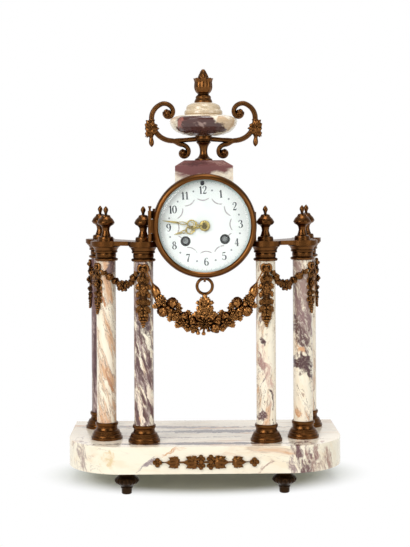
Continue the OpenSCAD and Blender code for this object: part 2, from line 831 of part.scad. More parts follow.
module dial() {
    color(ENAMEL)
        in_movement()
            union() {
                difference() {
                    bar(CENTRE_AT, dial_r, dial_front, dial_back);
                    bar(CENTRE_AT, hour_pipe_r + 0.5, dial_front - 1, dial_back + 1);
                    for (p = [GOING_AT, STRIKE_AT])
                        bar(p, winding_hole_r, dial_front - 1, dial_back + 1);
                    bar(REGULATOR_AT, arbor_r + 1, dial_front - 1, dial_back + 1);
                }
                for (p = DIAL_FEET)
                    bar(p, 1, dial_back - 0.2, fp_back);
            }
}

// Pierced hand along +Y of the flat shape: a boss, a slim stem, an open loop and a point
module hand_2d(l, boss, bore) {
    loop_at = l * 0.52;
    loop_r = l * 0.085;
    difference() {
        union() {
            circle(r = boss);
            polygon([[-1.5, boss * 0.7], [1.5, boss * 0.7], [0.9, loop_at - loop_r], [0.8, l * 0.72],
                [0, l], [-0.8, l * 0.72], [-0.9, loop_at - loop_r]]);
            translate([0, loop_at])
                circle(r = loop_r);
            for (s = [-1, 1]) {
                translate([s * loop_r * 0.75, loop_at - loop_r * 1.25])
                    circle(r = loop_r * 0.62);
                translate([s * 1.7, boss + 2.1])
                    circle(r = 1.6);
            }
            translate([0, l * 0.74])
                circle(r = 1.5);
        }
        circle(r = bore);
        translate([0, loop_at + loop_r * 0.1])
            circle(r = loop_r * 0.58);
        for (s = [-1, 1]) {
            translate([s * loop_r * 0.78, loop_at - loop_r * 1.25])
                circle(r = loop_r * 0.28);
            rotate(s * 90)
                translate([0, boss * 0.68])
                    circle(r = boss * 0.16);
        }
    }
}

module hour_hand() {
    color(BRASS)
        translate([0, 0, drum_z])
            rotate([0, hour_angle, 0])
                slab(hour_hand_y, hour_hand_y + hand_t)
                    hand_2d(hour_len, 6, hour_pipe_r + seat_gap);
}

module minute_hand() {
    color(BRASS)
        translate([0, 0, drum_z])
            rotate([0, minute_angle, 0])
                slab(minute_hand_y, minute_hand_y + hand_t)
                    hand_2d(minute_len, 4.6, pipe_r + seat_gap);
}

module hand_collet() {
    color(BRASS)
        translate([0, minute_hand_y, drum_z])
            rotate([90, 0, 0])
                turned([[0, 0], [3.2, 0], [3.1, 0.4], [2.2, 0.8], [0, 0.9]], 0, 1);
}

// Movement

module front_plate() {
    color(BRASS)
        in_movement()
            union() {
                difference() {
                    bar(CENTRE_AT, front_plate_r, fp_front, fp_back);
                    bar(CENTRE_AT, arbor_r + run_gap, fp_front - 1, fp_back + 1);
                    for (p = [GOING_AT, STRIKE_AT])
                        bar(p, winding_arbor_r + run_gap, fp_front - 1, fp_back + 1);
                    for (p = [SECOND_AT, THIRD_AT, ESCAPE_AT, PIN_AT, FLY_AT, PALLET_AT, HAMMER_AT])
                        bar(p, pivot_r + run_gap, fp_front - 1, fp_back + 1);
                    bar(REGULATOR_AT, arbor_r + run_gap, fp_front - 1, fp_back + 1);
                    for (p = concat(SCREWS, DIAL_FEET))
                        bar(p, 1 + seat_gap, fp_front - 1, fp_back + 1);
                    for (p = PILLARS)
                        bar(p, 1.6 + seat_gap, fp_front - 1, fp_back + 1);
                }
                bar(MINUTE_AT, 0.8, hour_wheel_y, fp_front + 0.5);
            }
}

module back_plate() {
    color(BRASS)
        in_movement()
            difference() {
                bar(CENTRE_AT, back_plate_r, bp_front, bp_back);
                for (p = [GOING_AT, STRIKE_AT])
                    bar(p, winding_tail_r + run_gap, bp_front - 1, bp_back + 1);
                for (p = [CENTRE_AT, SECOND_AT, THIRD_AT, ESCAPE_AT, PIN_AT, FLY_AT])
                    bar(p, pivot_r + run_gap, bp_front - 1, bp_back + 1);
                for (p = [HAMMER_AT, REGULATOR_AT])
                    bar(p, arbor_r + run_gap, bp_front - 1, bp_back + 1);
                bar(PALLET_AT, arbor_r + 1.5, bp_front - 1, bp_back + 1);
                for (p = PILLARS)
                    bar(p, 1.6 + seat_gap, bp_front - 1, bp_back + 1);
            }
}

module plate_pillars() {
    color(BRASS)
        in_movement()
            for (p = PILLARS) {
                bar(p, 2.4, fp_back, bp_front);
                bar(p, 1.6, fp_front, bp_back);
            }
}

module plate_screws() {
    color(STEEL)
        in_movement()
            for (p = SCREWS) {
                bar(p, 1, fp_front - 0.5, fp_back + seat_t);
                bar(p, 1.9, fp_front - 1, fp_front);
            }
}

// Spring barrel with its great wheel, on the winding arbor
module barrel(p, q) {
    difference() {
        union() {
            translate([p.x, 0, p.y])
                slab(great_y, barrel_y)
                    rotate(direction(p, q))
                        wheel_2d(GREAT, tooth_m);
            bar(p, barrel_r, barrel_y - 0.2, barrel_y + barrel_t);
            bar(p, barrel_r * 0.4, great_y - 0.6, great_y + 0.1);
        }
        bar(p, winding_arbor_r + run_gap, great_y - 2, barrel_y + barrel_t + 1);
    }
}

module going_barrel() { color(BRASS) in_movement() barrel(GOING_AT, SECOND_AT); }
module strike_barrel() { color(BRASS) in_movement() barrel(STRIKE_AT, PIN_AT); }

module winding_arbor(p) {
    bar(p, winding_arbor_r, fp_front - 1.5, barrel_y + barrel_t + 0.6);
    bar(p, winding_tail_r, barrel_y, bp_back);
    translate([p.x, 0, p.y])
        slab(dial_front - 0.3, fp_front)
            square([square_w, square_w], center = true);
}

module going_winding_arbor() { color(STEEL) in_movement() winding_arbor(GOING_AT); }
module strike_winding_arbor() { color(STEEL) in_movement() winding_arbor(STRIKE_AT); }

// Pinion at p whose gap faces the wheel at q
module geared_pinion(p, q, z, m, y0, y1) {
    translate([p.x, 0, p.y])
        slab(y0, y1)
            rotate(direction(q, p) + 180 + 180 / z)
                pinion_2d(z, m);
}

// Crossed wheel at p whose tooth faces the pinion at q
module geared_wheel(p, q, z, m, y0) {
    translate([p.x, 0, p.y])
        slab(y0, y0 + wheel_t)
            rotate(direction(p, q))
                crossed_wheel(z, m, 3);
}

module second_wheel() {
    color(BRASS)
        in_movement() {
            arbor(SECOND_AT);
            geared_pinion(SECOND_AT, GOING_AT, SECOND_PINION, tooth_m, great_y - 0.5, great_y + great_t + 0.5);
            geared_wheel(SECOND_AT, CENTRE_AT, SECOND, second_m, second_y);
        }
}

module centre_wheel() {
    color(BRASS)
        in_movement() {
            bar(CENTRE_AT, arbor_r, cannon_y + 1, bp_front - free_gap);
            bar(CENTRE_AT, 0.9, minute_hand_y, cannon_y + 1.1);
            bar(CENTRE_AT, pivot_r, bp_front - 1, bp_back);
            geared_pinion(CENTRE_AT, SECOND_AT, CENTRE_PINION, second_m, second_y - 1, second_y + wheel_t + 1);
            geared_wheel(CENTRE_AT, THIRD_AT, CENTRE, centre_m, centre_y);
        }
}

module third_wheel() {
    color(BRASS)
        in_movement() {
            arbor(THIRD_AT);
            geared_pinion(THIRD_AT, CENTRE_AT, THIRD_PINION, centre_m, centre_y - 1, centre_y + wheel_t + 1);
            geared_wheel(THIRD_AT, ESCAPE_AT, THIRD, fine_m, third_y);
        }
}

module escape_wheel() {
    pitch = 360 / ESCAPE;
    root_r = escape_r - 1.4;
    color(BRASS)
        in_movement() {
            arbor(ESCAPE_AT);
            geared_pinion(ESCAPE_AT, THIRD_AT, ESCAPE_PINION, fine_m, third_y - 0.8, third_y + wheel_t + 0.8);
            translate([ESCAPE_AT.x, 0, ESCAPE_AT.y])
                slab(escape_y, escape_y + 1.1)
                    difference() {
                        polygon([for (i = [0 : ESCAPE - 1]) each [
                            polar(root_r, pitch * i), polar(escape_r, pitch * (i + 0.12)),
                            polar(escape_r, pitch * (i + 0.2)), polar(root_r, pitch * (i + 0.72))]]);
                        difference() {
                            circle(r = root_r - 1.1);
                            circle(r = 2.2);
                            for (a = [0, 90])
                                rotate(a)
                                    square([2 * root_r, 1.1], center = true);
                        }
                    }
        }
}

// Anchor with its two pallets, its arbor, and the crutch behind the back plate
module pallets() {
    span = 40;
    reach_r = escape_r + 1.7;
    tip = ESCAPE_AT + polar(reach_r, span);
    rod_z = PALLET_AT.y - 19;
    color(STEEL)
        in_movement() {
            bar(PALLET_AT, arbor_r, fp_back + free_gap, crutch_y + 1.2);
            bar(PALLET_AT, pivot_r, fp_front, bridge_y + bridge_t);
            slab(escape_y - 0.2, escape_y + 1.3)
                for (s = [-1, 1]) {
                    translate(PALLET_AT)
                        circle(r = 2.4);
                    polygon([[0, PALLET_AT.y + 1.6], [s * (tip.x + 0.9), tip.y + 1.6],
                        [s * (tip.x + 0.5), tip.y - 0.2], [s * (tip.x - 0.5), tip.y + 0.2],
                        [s * (tip.x - 1), tip.y + 1], [0, PALLET_AT.y - 1.6]]);
                }
            translate([PALLET_AT.x - 0.9, crutch_y, rod_z])
                cube([1.8, 1, PALLET_AT.y - rod_z]);
            translate([-2.6, crutch_y, rod_z - 1.6])
                cube([5.2, 1, 1.8]);
            for (s = [-1, 1])
                translate([s * 2 - 0.6, crutch_y, rod_z - 1.6])
                    cube([1.2, pendulum_y + 1.4 - crutch_y, 1.2]);
        }
}

// Bridge behind the back plate: it holds the pallet arbor and the upper half of the suspension
module pallet_cock() {
    leg_x = 9;
    color(BRASS)
        in_movement() {
            difference() {
                union() {
                    translate([-leg_x - 2, bridge_y, PALLET_AT.y - 3])
                        cube([2 * leg_x + 4, bridge_t, 6]);
                    translate([-3, bridge_y, PALLET_AT.y])
                        cube([6, bridge_t, 10]);
                }
                bar(PALLET_AT, pivot_r + run_gap, bridge_y - 1, bridge_y + bridge_t + 1);
            }
            for (s = [-1, 1])
                translate([s * leg_x - 2, bp_back, PALLET_AT.y - 3])
                    cube([4, bridge_y - bp_back + 0.2, 6]);
            translate([-2.6, bridge_y + 0.5, PALLET_AT.y + 5.5])
                cube([5.2, pendulum_y + 1 - bridge_y, 4]);
            translate([-1.8, pendulum_y - 0.15, PALLET_AT.y + free_gap])
                cube([3.6, 0.3, 5.5]);
        }
}

module pendulum() {
    bob_z = PALLET_AT.y - pendulum_len;
    bob_t = 5;
    color(BRASS)
        in_movement() {
            translate([-1.8, pendulum_y - 0.15, PALLET_AT.y - 5])
                cube([3.6, 0.3, 5]);
            translate([-2.2, pendulum_y - 0.9, PALLET_AT.y - 9])
                cube([4.4, 1.8, 4.2]);
            translate([0, pendulum_y, bob_z])
                cylinder(r = 0.9, h = pendulum_len - 8);
            translate([0, pendulum_y - bob_t / 2, bob_z])
                rotate([-90, 0, 0])
                    turned([[0, 0], [bob_r * 0.7, 0.2], [bob_r, bob_t * 0.36], [bob_r, bob_t * 0.64],
                        [bob_r * 0.7, bob_t - 0.2], [0, bob_t]], 0, bob_t);
        }
}

module cannon_pinion() {
    color(STEEL)
        in_movement()
            difference() {
                union() {
                    geared_pinion(CENTRE_AT, MINUTE_AT, CANNON, motion_m, cannon_y, cannon_y + 1.7);
                    bar(CENTRE_AT, pipe_r, minute_hand_y, cannon_y + 0.4);
                }
                bar(CENTRE_AT, arbor_r + run_gap, cannon_y + 1 - run_gap, fp_front);
                bar(CENTRE_AT, 0.9 + run_gap, minute_hand_y - 1, cannon_y + 2);
            }
}

module minute_wheel() {
    color(BRASS)
        in_movement()
            difference() {
                union() {
                    geared_wheel(MINUTE_AT, CENTRE_AT, MINUTE, motion_m, cannon_y + 0.2);
                    geared_pinion(MINUTE_AT, CENTRE_AT, MINUTE_PINION, motion_m, hour_wheel_y, cannon_y + 0.3);
                }
                bar(MINUTE_AT, 0.8 + run_gap, hour_wheel_y - 1, fp_front);
            }
}

module hour_wheel() {
    color(BRASS)
        in_movement()
            difference() {
                union() {
                    translate([0, hour_wheel_y, 0])
                        slab(0, 1.3)
                            rotate(direction(CENTRE_AT, MINUTE_AT))
                                wheel_2d(HOUR, motion_m);
                    bar(CENTRE_AT, hour_pipe_r, hour_hand_y, hour_wheel_y + 1);
                }
                bar(CENTRE_AT, pipe_r + run_gap, hour_hand_y - 1, fp_front);
            }
}

module strike_pin_wheel() {
    pins = 10;
    pin_circle_r = PIN_WHEEL * tooth_m / 2 - 1.9;
    color(BRASS)
        in_movement() {
            arbor(PIN_AT);
            geared_pinion(PIN_AT, STRIKE_AT, PIN_PINION, tooth_m, great_y - 0.5, great_y + great_t + 0.5);
            geared_wheel(PIN_AT, FLY_AT, PIN_WHEEL, tooth_m, second_y);
            for (k = [0 : pins - 1])
                bar(PIN_AT + polar(pin_circle_r, 360 * k / pins), 0.5, second_y + 0.5, centre_y - 0.8);
        }
}

module fly() {
    blade_w = 13;
    blade_l = 11;
    color(STEEL)
        in_movement() {
            arbor(FLY_AT);
            geared_pinion(FLY_AT, PIN_AT, FLY_PINION, tooth_m, second_y - 0.8, second_y + wheel_t + 0.8);
            translate([FLY_AT.x - blade_w / 2, barrel_y, FLY_AT.y - 0.4])
                cube([blade_w, blade_l, 0.8]);
        }
}

module hammer() {
    head_r = bell_r + 0.5 + hammer_head_r;
    head = polar(head_r, 192);
    arm = head - HAMMER_AT;
    color(STEEL)
        in_movement() {
            bar(HAMMER_AT, arbor_r, fp_back + free_gap, hammer_y + 2);
            bar(HAMMER_AT, pivot_r, fp_front, fp_back + 1);
            bar(HAMMER_AT, 2.2, hammer_y, hammer_y + 2);
            translate([HAMMER_AT.x, hammer_y + 0.2, HAMMER_AT.y])
                rotate([0, -direction([0, 0], arm), 0])
                    translate([0, 0, -0.8])
                        cube([norm(arm), 1.6, 1.6]);
            bar(head, hammer_head_r, hammer_y - 1, hammer_y + 3.4);
        }
}

module bell() {
    d = bell_depth;
    r = bell_r;
    t = bell_t;
    color(BRASS)
        in_movement()
            translate([0, bell_y, 0])
                rotate([-90, 0, 0])
                    rotate_extrude($fn = 64)
                        polygon([[r - t, 0], [r, 0], [r * 0.985, d * 0.25], [r * 0.93, d * 0.5], [r * 0.78, d * 0.76],
                            [r * 0.5, d * 0.94], [r * 0.2, d], [1.6 + seat_gap, d], [1.6 + seat_gap, d - t],
                            [r * 0.2, d - t], [r * 0.47, d * 0.94 - t], [r * 0.74, d * 0.76 - t],
                            [r * 0.93 - t, d * 0.46], [r - t - 0.3, d * 0.2]]);
}

// Post beside the pendulum, an arm inside the bell and a stud with its nut
module bell_stand() {
    arm_y = bell_y + 2.5;
    stud_top = bell_y + bell_depth + 3.4;
    color(STEEL)
        in_movement() {
            bar([stand_x, 0], 1.8, bp_back, arm_y + 3);
            translate([-1.6, arm_y, -1.6])
                cube([stand_x + 1.6, 3, 3.2]);
            bar([0, 0], 3, arm_y + 1, bell_y + bell_depth - bell_t);
            bar([0, 0], 1.6, arm_y + 1, stud_top);
            translate([0, bell_y + bell_depth, 0])
                slab(0, 2.2)
                    difference() {
                        circle(r = 3.6, $fn = 6);
                        circle(r = 1.6 + run_gap);
                    }
        }
}

module regulator_arbor() {
    color(STEEL)
        in_movement() {
            bar(REGULATOR_AT, arbor_r, fp_front - 1.5, bp_back);
            translate([REGULATOR_AT.x, 0, REGULATOR_AT.y])
                slab(dial_front - 0.3, fp_front)
                    square([1.8, 1.8], center = true);
        }
}

// Pedestal and urn

module pedestal_block() {
    low = drum_z + sqrt(drum_r * drum_r - block_w * block_w / 4) - 1.5;
    color(STONE)
        difference() {
            union() {
                translate([-block_w / 2, urn_y - block_d / 2, low])
                    cube([block_w, block_d, block_edge_z - low]);
                hull() {
                    translate([-block_w / 2, urn_y - block_d / 2, block_edge_z - 0.5])
                        cube([block_w, block_d, 0.5]);
                    translate([-hip_w / 2, urn_y - (block_d - block_w + hip_w) / 2, block_edge_z])
                        cube([hip_w, block_d - block_w + hip_w, hip_h]);
                }
            }
            drum_cut(seat_gap);
            translate([0, urn_y, drum_z])
                cylinder(r = urn_bolt_r + 0.3, h = block_top - drum_z + 1);
        }
}

collar_h = 6;
collar_r = 10;

module urn_foot() {
    h = urn_foot_h;
    color(BRONZE)
        translate([0, urn_y, block_top])
            turned([[0, 0], [9.8, 0], [9.8, h * 0.06], [9, h * 0.1], [8.6, h * 0.14], [5.8, h * 0.22],
                [4.5, h * 0.31], [4.2, h * 0.39], [4.6, h * 0.47], [6.2, h * 0.56], [7.6, h * 0.62],
                [6.8, h * 0.66], [6.6, h * 0.7], [collar_r, h - collar_h - 1], [collar_r, h - 0.6],
                [collar_r - 0.6, h], [0, h]], urn_bolt_r + 0.3, h);
}

module urn_bowl() {
    h = bowl_h;
    r = bowl_r;
    color(STONE)
        translate([0, urn_y, bowl_z])
            turned([[0, 0], [r * 0.42, 0], [r * 0.62, h * 0.08], [r * 0.8, h * 0.22], [r * 0.92, h * 0.42],
                [r * 0.985, h * 0.64], [r, h * 0.79], [r * 0.985, h * 0.88], [r * 0.94, h * 0.96],
                [r * 0.88, h], [0, h]], urn_bolt_r + 0.3, h);
}

module urn_lid() {
    h = lid_h;
    r = bowl_r * 0.88;
    color(STONE)
        translate([0, urn_y, lid_z])
            turned([[0, 0], [r, 0], [r * 0.96, h * 0.05], [r * 0.88, h * 0.1], [r * 0.66, h * 0.13],
                [r * 0.615, h * 0.17], [r * 0.645, h * 0.24], [r * 0.64, h * 0.4], [r * 0.61, h * 0.5],
                [r * 0.58, h * 0.54], [r * 0.575, h * 0.7], [r * 0.53, h * 0.84], [r * 0.45, h * 0.93],
                [r * 0.34, h], [0, h]], urn_bolt_r + 0.3, h);
}

// Collar, cup with a leaf-tip rim, and a flame
module urn_finial() {
    h = urn_finial_h;
    color(BRONZE)
        translate([0, urn_y, urn_finial_z])
            difference() {
                turned([[0, 0], [9.8, 0], [10, h * 0.04], [9.2, h * 0.08], [8, h * 0.13], [8.4, h * 0.16],
                    [7.6, h * 0.19], [6.2, h * 0.23], [6.6, h * 0.26], [5.6, h * 0.29], [6.8, h * 0.36],
                    [9.4, h * 0.46], [10.2, h * 0.55], [9.6, h * 0.62], [10.2, h * 0.66], [11, h * 0.69],
                    [9, h * 0.71], [6.6, h * 0.7], [6.2, h * 0.76], [5, h * 0.85], [3, h * 0.93],
                    [1.2, h * 0.985], [0, h]], 0, h);
                translate([0, 0, -1])
                    cylinder(r = urn_bolt_r + run_gap, h = urn_bolt_top - urn_finial_z + 1);
            }
}

// Scroll handle, drawn in the XZ plane about the urn's axis and swept with an oval section
function cubic(a, b, c, d, t) =
    pow(1 - t, 3) * a + 3 * t * pow(1 - t, 2) * b + 3 * t * t * (1 - t) * c + pow(t, 3) * d;
function curl(c, a0, turn, r0, r1, k, t) =
    c + polar(r1 + (r0 - r1) * pow(1 - t, k), a0 + turn * t);

volute_top = [handle_reach - 17.1, bowl_z + 24.8];
volute_low = [22.8, block_top + 8.6];
curl_turn = 330;
strap_top = volute_top + polar(12.1, 67);
strap_side = [handle_reach, bowl_z + 18.5];
strap_low = [36, bowl_z - 5.2];
curl_low = volute_low + polar(9.6, 78);
HANDLE_PATH = concat(
    [for (i = [13 : -1 : 1]) curl(volute_top, 67, curl_turn, 12.1, 2.4, 2.2, i / 13)],
    [for (i = [0 : 6]) cubic(strap_top, strap_top + [7, -2.2], strap_side + [0.4, 9], strap_side, i / 7)],
    [for (i = [0 : 6]) cubic(strap_side, strap_side - [0.6, 12], strap_low + [13, 1.2], strap_low, i / 7)],
    [for (i = [0 : 3]) cubic(strap_low, strap_low - [6, 0.2], curl_low + [5, 1.4], curl_low, i / 4)],
    [for (i = [0 : 12]) curl(volute_low, 78, curl_turn, 9.6, 2.4, 1.9, i / 12)]);

module scroll_handle() {
    n = len(HANDLE_PATH);
    taper = [for (i = [0 : n - 1]) 0.5 + 0.5 * sin(180 * i / (n - 1))];
    bud_top = [handle_reach + 2.6, bowl_z + 3];
    bud_z = block_top + 15.5;
    arm_z = block_top + urn_foot_h - collar_h / 2 - 0.6;
    skin(tube_points([for (q = HANDLE_PATH) [q.x, 0, q.y]], strap_r * taper, strap_r * 1.5 * taper,
        [0, 1, 0], 8, 0), 8);
    for (c = [volute_top, volute_low]) {
        hull()
            for (s = [-1, 1])
                lump([c.x + 0.2, s * strap_r * 0.9, c.y], [4.4, 1.3, 4.5]);
        for (s = [-1, 1])
            hull()
                lump([c.x + 0.1, s * (strap_r * 0.9 + 0.9), c.y - 0.1], [1.5, 1.3, 1.5]);
    }
    hull() {
        lump([handle_reach - 0.7, 0.2, bowl_z + 13.6], [2.3, 3.5, 2.4]);
        lump([bud_top.x + 1.8, 0.1, bud_top.y + 4.8], [1.7, 2.4, 2.3]);
        lump([bud_top.x - 1.4, -0.1, bud_top.y - 3.4], [3.3, 5.1, 3.1]);
    }
    hull() {
        lump([bud_top.x - 2.1, 0.1, bud_top.y - 4.6], [2.5, 3.4, 2.4]);
        lump([bud_top.x - 2.3, -0.1, bud_z + 5], [3.2, 3.6, 4]);
        lump([bud_top.x - 2.4, 0, bud_z], [0.7, 0.7, 1]);
    }
    hull() {
        lump([strap_low.x - 3.3, 0.1, strap_low.y - 1.3], [2.6, 2.7, 1.7]);
        lump([collar_r + 1.8, 0.2, arm_z - 0.3], [2.6, 3.1, 1.8]);
    }
    hull() {
        lump([strap_low.x + 3.4, 0.1, strap_low.y + 1.2], [1.8, 4.4, 2.6]);
        lump([strap_low.x - 0.9, -0.2, strap_low.y + 0.7], [1.7, 5, 3.1]);
    }
}

// A handle is cut clear of the collar, the bowl and the block that it meets
module fitted_handle(s) {
    difference() {
        translate([0, urn_y, 0])
            if (s > 0)
                scroll_handle();
            else
                mirror([1, 0, 0])
                    scroll_handle();
        translate([0, urn_y, block_top])
            cylinder(r = collar_r + seat_gap, h = urn_foot_h, $fn = 40);
    }
}

module urn_handle_left() { color(BRONZE) fitted_handle(-1); }
module urn_handle_right() { color(BRONZE) fitted_handle(1); }

// Garlands

ring_y = front_y - 6;
ring_z = drum_z - drum_r - 13.8;

// Ring on a lug whose stud goes through the drum's wall
module garland_ring() {
    eye_z = ring_z + ring_r;
    eye_r = ring_wire_r + 2.2;
    color(BRONZE) {
        translate([0, ring_y, ring_z])
            rotate([90, 0, 0])
                rotate_extrude()
                    translate([ring_r, 0])
                        circle(r = ring_wire_r);
        difference() {
            union() {
                translate([-1.2, ring_y, eye_z])
                    rotate([0, 90, 0])
                        cylinder(r = eye_r, h = 2.4);
                translate([0, ring_y, eye_z + eye_r - 1])
                    cylinder(r = 2.4, h = drum_z - drum_r - eye_z - eye_r + 1 - seat_gap);
                translate([0, ring_y, eye_z + eye_r])
                    cylinder(r = 1.2, h = drum_z - drum_r - eye_z - eye_r + drum_wall);
            }
            translate([-3, ring_y, eye_z])
                rotate([0, 90, 0])
                    cylinder(r = ring_wire_r + free_gap, h = 6);
        }
    }
}

// Garland between the front columns: a sagging strand with flowers, and a pendant below the ring
garland_y = front_y - 4;
garland_top = capital_z - 23;
garland_end = front_x - shaft_r + 1;

function garland_at(t) =
    let (q = cubic([garland_end, 0], [garland_end * 0.89, -garland_sag * 0.56],
        [garland_end * 0.6, -garland_sag], [0, -garland_sag], t))
    [-q.x, garland_y - 3 * sin(90 * t), garland_top + q.y];
function garland_r(t) = garland_d * (t < 0.02 ? 0.14 : 0.2 + 0.26 * sqrt(sin(120 * t)));
BLOOMS = [[0.27, 0, -1, 0.4], [0.46, 2.4, 4, 0.34], [0.43, -1.4, -4.6, 0.35], [0.62, 0, 0, 0.42],
    [0.75, 0.6, -2.6, 0.36], [0.88, 0, 1.5, 0.34]];
LEAVES = [[0.2, 200], [0.36, 62], [0.54, 232], [0.7, 30], [0.83, 205]];

module garland_flowers() {
    for (b = BLOOMS)
        translate(garland_at(b[0]) + [b[1], -garland_r(b[0]) * 0.75, b[2]])
            rotate([12 * sin(700 * b[0]), 40 * b[0], 14 * cos(500 * b[0])])
                bloom(garland_d * b[3]);
    for (v = LEAVES)
        translate(garland_at(v[0]) - [0, garland_r(v[0]) * 0.45, 0])
            rotate([0, v[1], 0])
                leaf(garland_d * 0.95, garland_d * 0.4);
}

module main_garland() {
    half = [for (i = [0 : 20]) i / 20];
    run = concat(half, [for (i = [19 : -1 : 0]) i / 20]);
    path = [for (i = [0 : 40]) let (q = garland_at(run[i])) i > 20 ? [-q.x, q.y, q.z] : q];
    radii = [for (t = run) garland_r(t)];
    pendant_top = ring_z - ring_r - ring_wire_r - seat_gap;
    pendant_y = ring_y - 1.5;
    shape = [[0, 1.6], [3, 2.6], [7, 6.5], [11, 10.6], [17, 12.6], [24, 12.2], [30, 10], [35, 7], [39, 4], [41.5, 1.4]];
    color(BRONZE)
        difference() {
            union() {
                skin(tube_points(path, radii, 0.9 * radii, [0, 1, 0], 10, 0.1), 10);
                skin(tube_points([for (q = shape) [0, pendant_y - 0.2 * q[1], pendant_top - q[0]]],
                    [for (q = shape) q[1]], [for (q = shape) min(q[1], 2.4 + 0.36 * q[1])], [0, 1, 0], 10, 0.07), 10);
                garland_flowers();
                mirror([1, 0, 0])
                    garland_flowers();
                translate([0, pendant_y - 8.4, garland_top - garland_sag + 1])
                    bloom(garland_d * 0.44);
                for (b = [[-7.5, 33], [-2.6, 38], [2.7, 36.5], [7.3, 33.6]])
                    hull()
                        lump([b[0], pendant_y - 4.5, pendant_top - b[1]], [2.3, 2.3, 2.3]);
            }
            for (s = [-1, 1])
                translate([s * front_x, front_y, shaft_z])
                    cylinder(r = shaft_r + 0.1, h = shaft_h, $fn = 64);
        }
}

// Drop of a bow, two flowers and a bud, cast as one relief with its back on the shaft
function drop_w_at(d, h, w) = max(1.3, abs(d - 0.1 * h) < 0.07 * h ? 0.27 * w * cos(90 * (d / h - 0.1) / 0.07) : 0,
    round_w(d - 0.36 * h, 0.42 * w), round_w(d - 0.59 * h, 0.34 * w), 0.21 * w * round_w((d - 0.8 * h) / (0.15 * h), 1));
function drop_h_at(d, x, h, w) = max(abs(x) < 1.4 ? 0.4 : 0.12,
    abs(d - 0.1 * h) < 0.07 * h ? 0.5 * abs(sin(180 * x / (0.2 * w))) : 0,
    bloom_h(x, d - 0.36 * h, 0.42 * w), 0.85 * bloom_h(x, d - 0.59 * h, 0.34 * w),
    0.8 * round_w(norm([(d - 0.8 * h) / (0.15 * h), x / (0.21 * w)]), 1));

module drop(h, w) {
    steps = round(h / 2.7);
    deep = 0.25 * w;
    relief([for (i = [0 : steps])
        let (d = h * i / steps, hw = drop_w_at(d, h, w))
        [-d, hw, [for (k = [0 : 8]) k % 8 == 0 ? 0 : deep * drop_h_at(d, (k / 4 - 1) * hw, h, w)]]],
        shaft_r + 0.15, 0.6);
}

// Small garland from one shaft to the next, from angle a on shaft i to angle b on shaft j
module small_swag(i, a, j, b, sag) {
    swag_z = capital_z - 11;
    function from_shaft(k, c, r) = [LEFT[k].x + r * sin(c), LEFT[k].y - r * cos(c), swag_z];
    p = from_shaft(i, a, shaft_r + 2.4);
    q = from_shaft(j, b, shaft_r + 2.4);
    ts = [for (n = [0 : 8]) n / 8];
    path = concat([from_shaft(i, a, shaft_r - 0.8)],
        [for (t = ts) (1 - t) * p + t * q - [0, 0, sag * sin(180 * t)]], [from_shaft(j, b, shaft_r - 0.8)]);
    radii = concat([1.3], [for (t = ts) 1.5 + 2.2 * pow(sin(180 * t), 1.5)], [1.3]);
    skin(tube_points(path, radii, radii, [0, 0, 1], 8, 0.12), 8);
}

// Ornament on the columns of the left side: three drops under nail heads, and the two garlands between them
module side_garlands() {
    turns = [0, -50, -90];
    for (i = [0 : 2])
        translate([LEFT[i].x, LEFT[i].y, capital_z - 5])
            rotate([0, 0, turns[i]]) {
                translate([0, -shaft_r - 0.15, 0])
                    drop(i == 0 ? front_drop_h : outer_drop_h, i == 0 ? 17 : 13);
                hull() {
                    translate([0, -shaft_r - 0.15, 2.6])
                        rotate([90, 0, 0])
                            cylinder(r = 1.8, h = 0.8, $fn = 10);
                    translate([0, -shaft_r - 1.4, 2.6])
                        rotate([90, 0, 0])
                            cylinder(r = 0.9, h = 0.6, $fn = 10);
                }
            }
    small_swag(0, -47, 1, 24, 14);
    small_swag(1, -95, 2, -45, 14);
    for (p = [[0, -47], [2, -45]])
        translate([LEFT[p[0]].x, LEFT[p[0]].y, capital_z - 5.6])
            rotate([0, 0, p[1]])
                hull() {
                    translate([0, -shaft_r - 0.15, 0])
                        rotate([90, 0, 0])
                            cylinder(r = 1.4, h = 0.8, $fn = 10);
                    translate([0, -shaft_r - 1.2, 0])
                        rotate([90, 0, 0])
                            cylinder(r = 0.7, h = 0.6, $fn = 10);
                }
}

module column_garlands() {
    color(BRONZE)
        difference() {
            union() {
                side_garlands();
                mirror([1, 0, 0])
                    side_garlands();
            }
            for (p = COLUMNS)
                translate([p.x, p.y, shaft_z])
                    cylinder(r = shaft_r + 0.1, h = shaft_h, $fn = 64);
        }
}

base_plinth();
feet();
frieze_mount();
column_front_left();
column_side_left();
column_rear_left();
column_front_right();
column_side_right();
column_rear_right();
column_bases();
column_capitals();
entablature_left();
entablature_right();
column_finials();
tie_bolts();
drum_case();
bracket_left();
bracket_right();
bezel();
bezel_glass();
hinge_pins();
rear_door();
dial();
hour_hand();
minute_hand();
hand_collet();
front_plate();
back_plate();
plate_pillars();
plate_screws();
going_barrel();
strike_barrel();
going_winding_arbor();
strike_winding_arbor();
second_wheel();
centre_wheel();
third_wheel();
escape_wheel();
pallets();
pallet_cock();
pendulum();
cannon_pinion();
minute_wheel();
hour_wheel();
strike_pin_wheel();
fly();
hammer();
bell();
bell_stand();
regulator_arbor();
pedestal_block();
urn_foot();
urn_bowl();
urn_lid();
urn_finial();
urn_handle_left();
urn_handle_right();
garland_ring();
main_garland();
column_garlands();
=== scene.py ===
import math

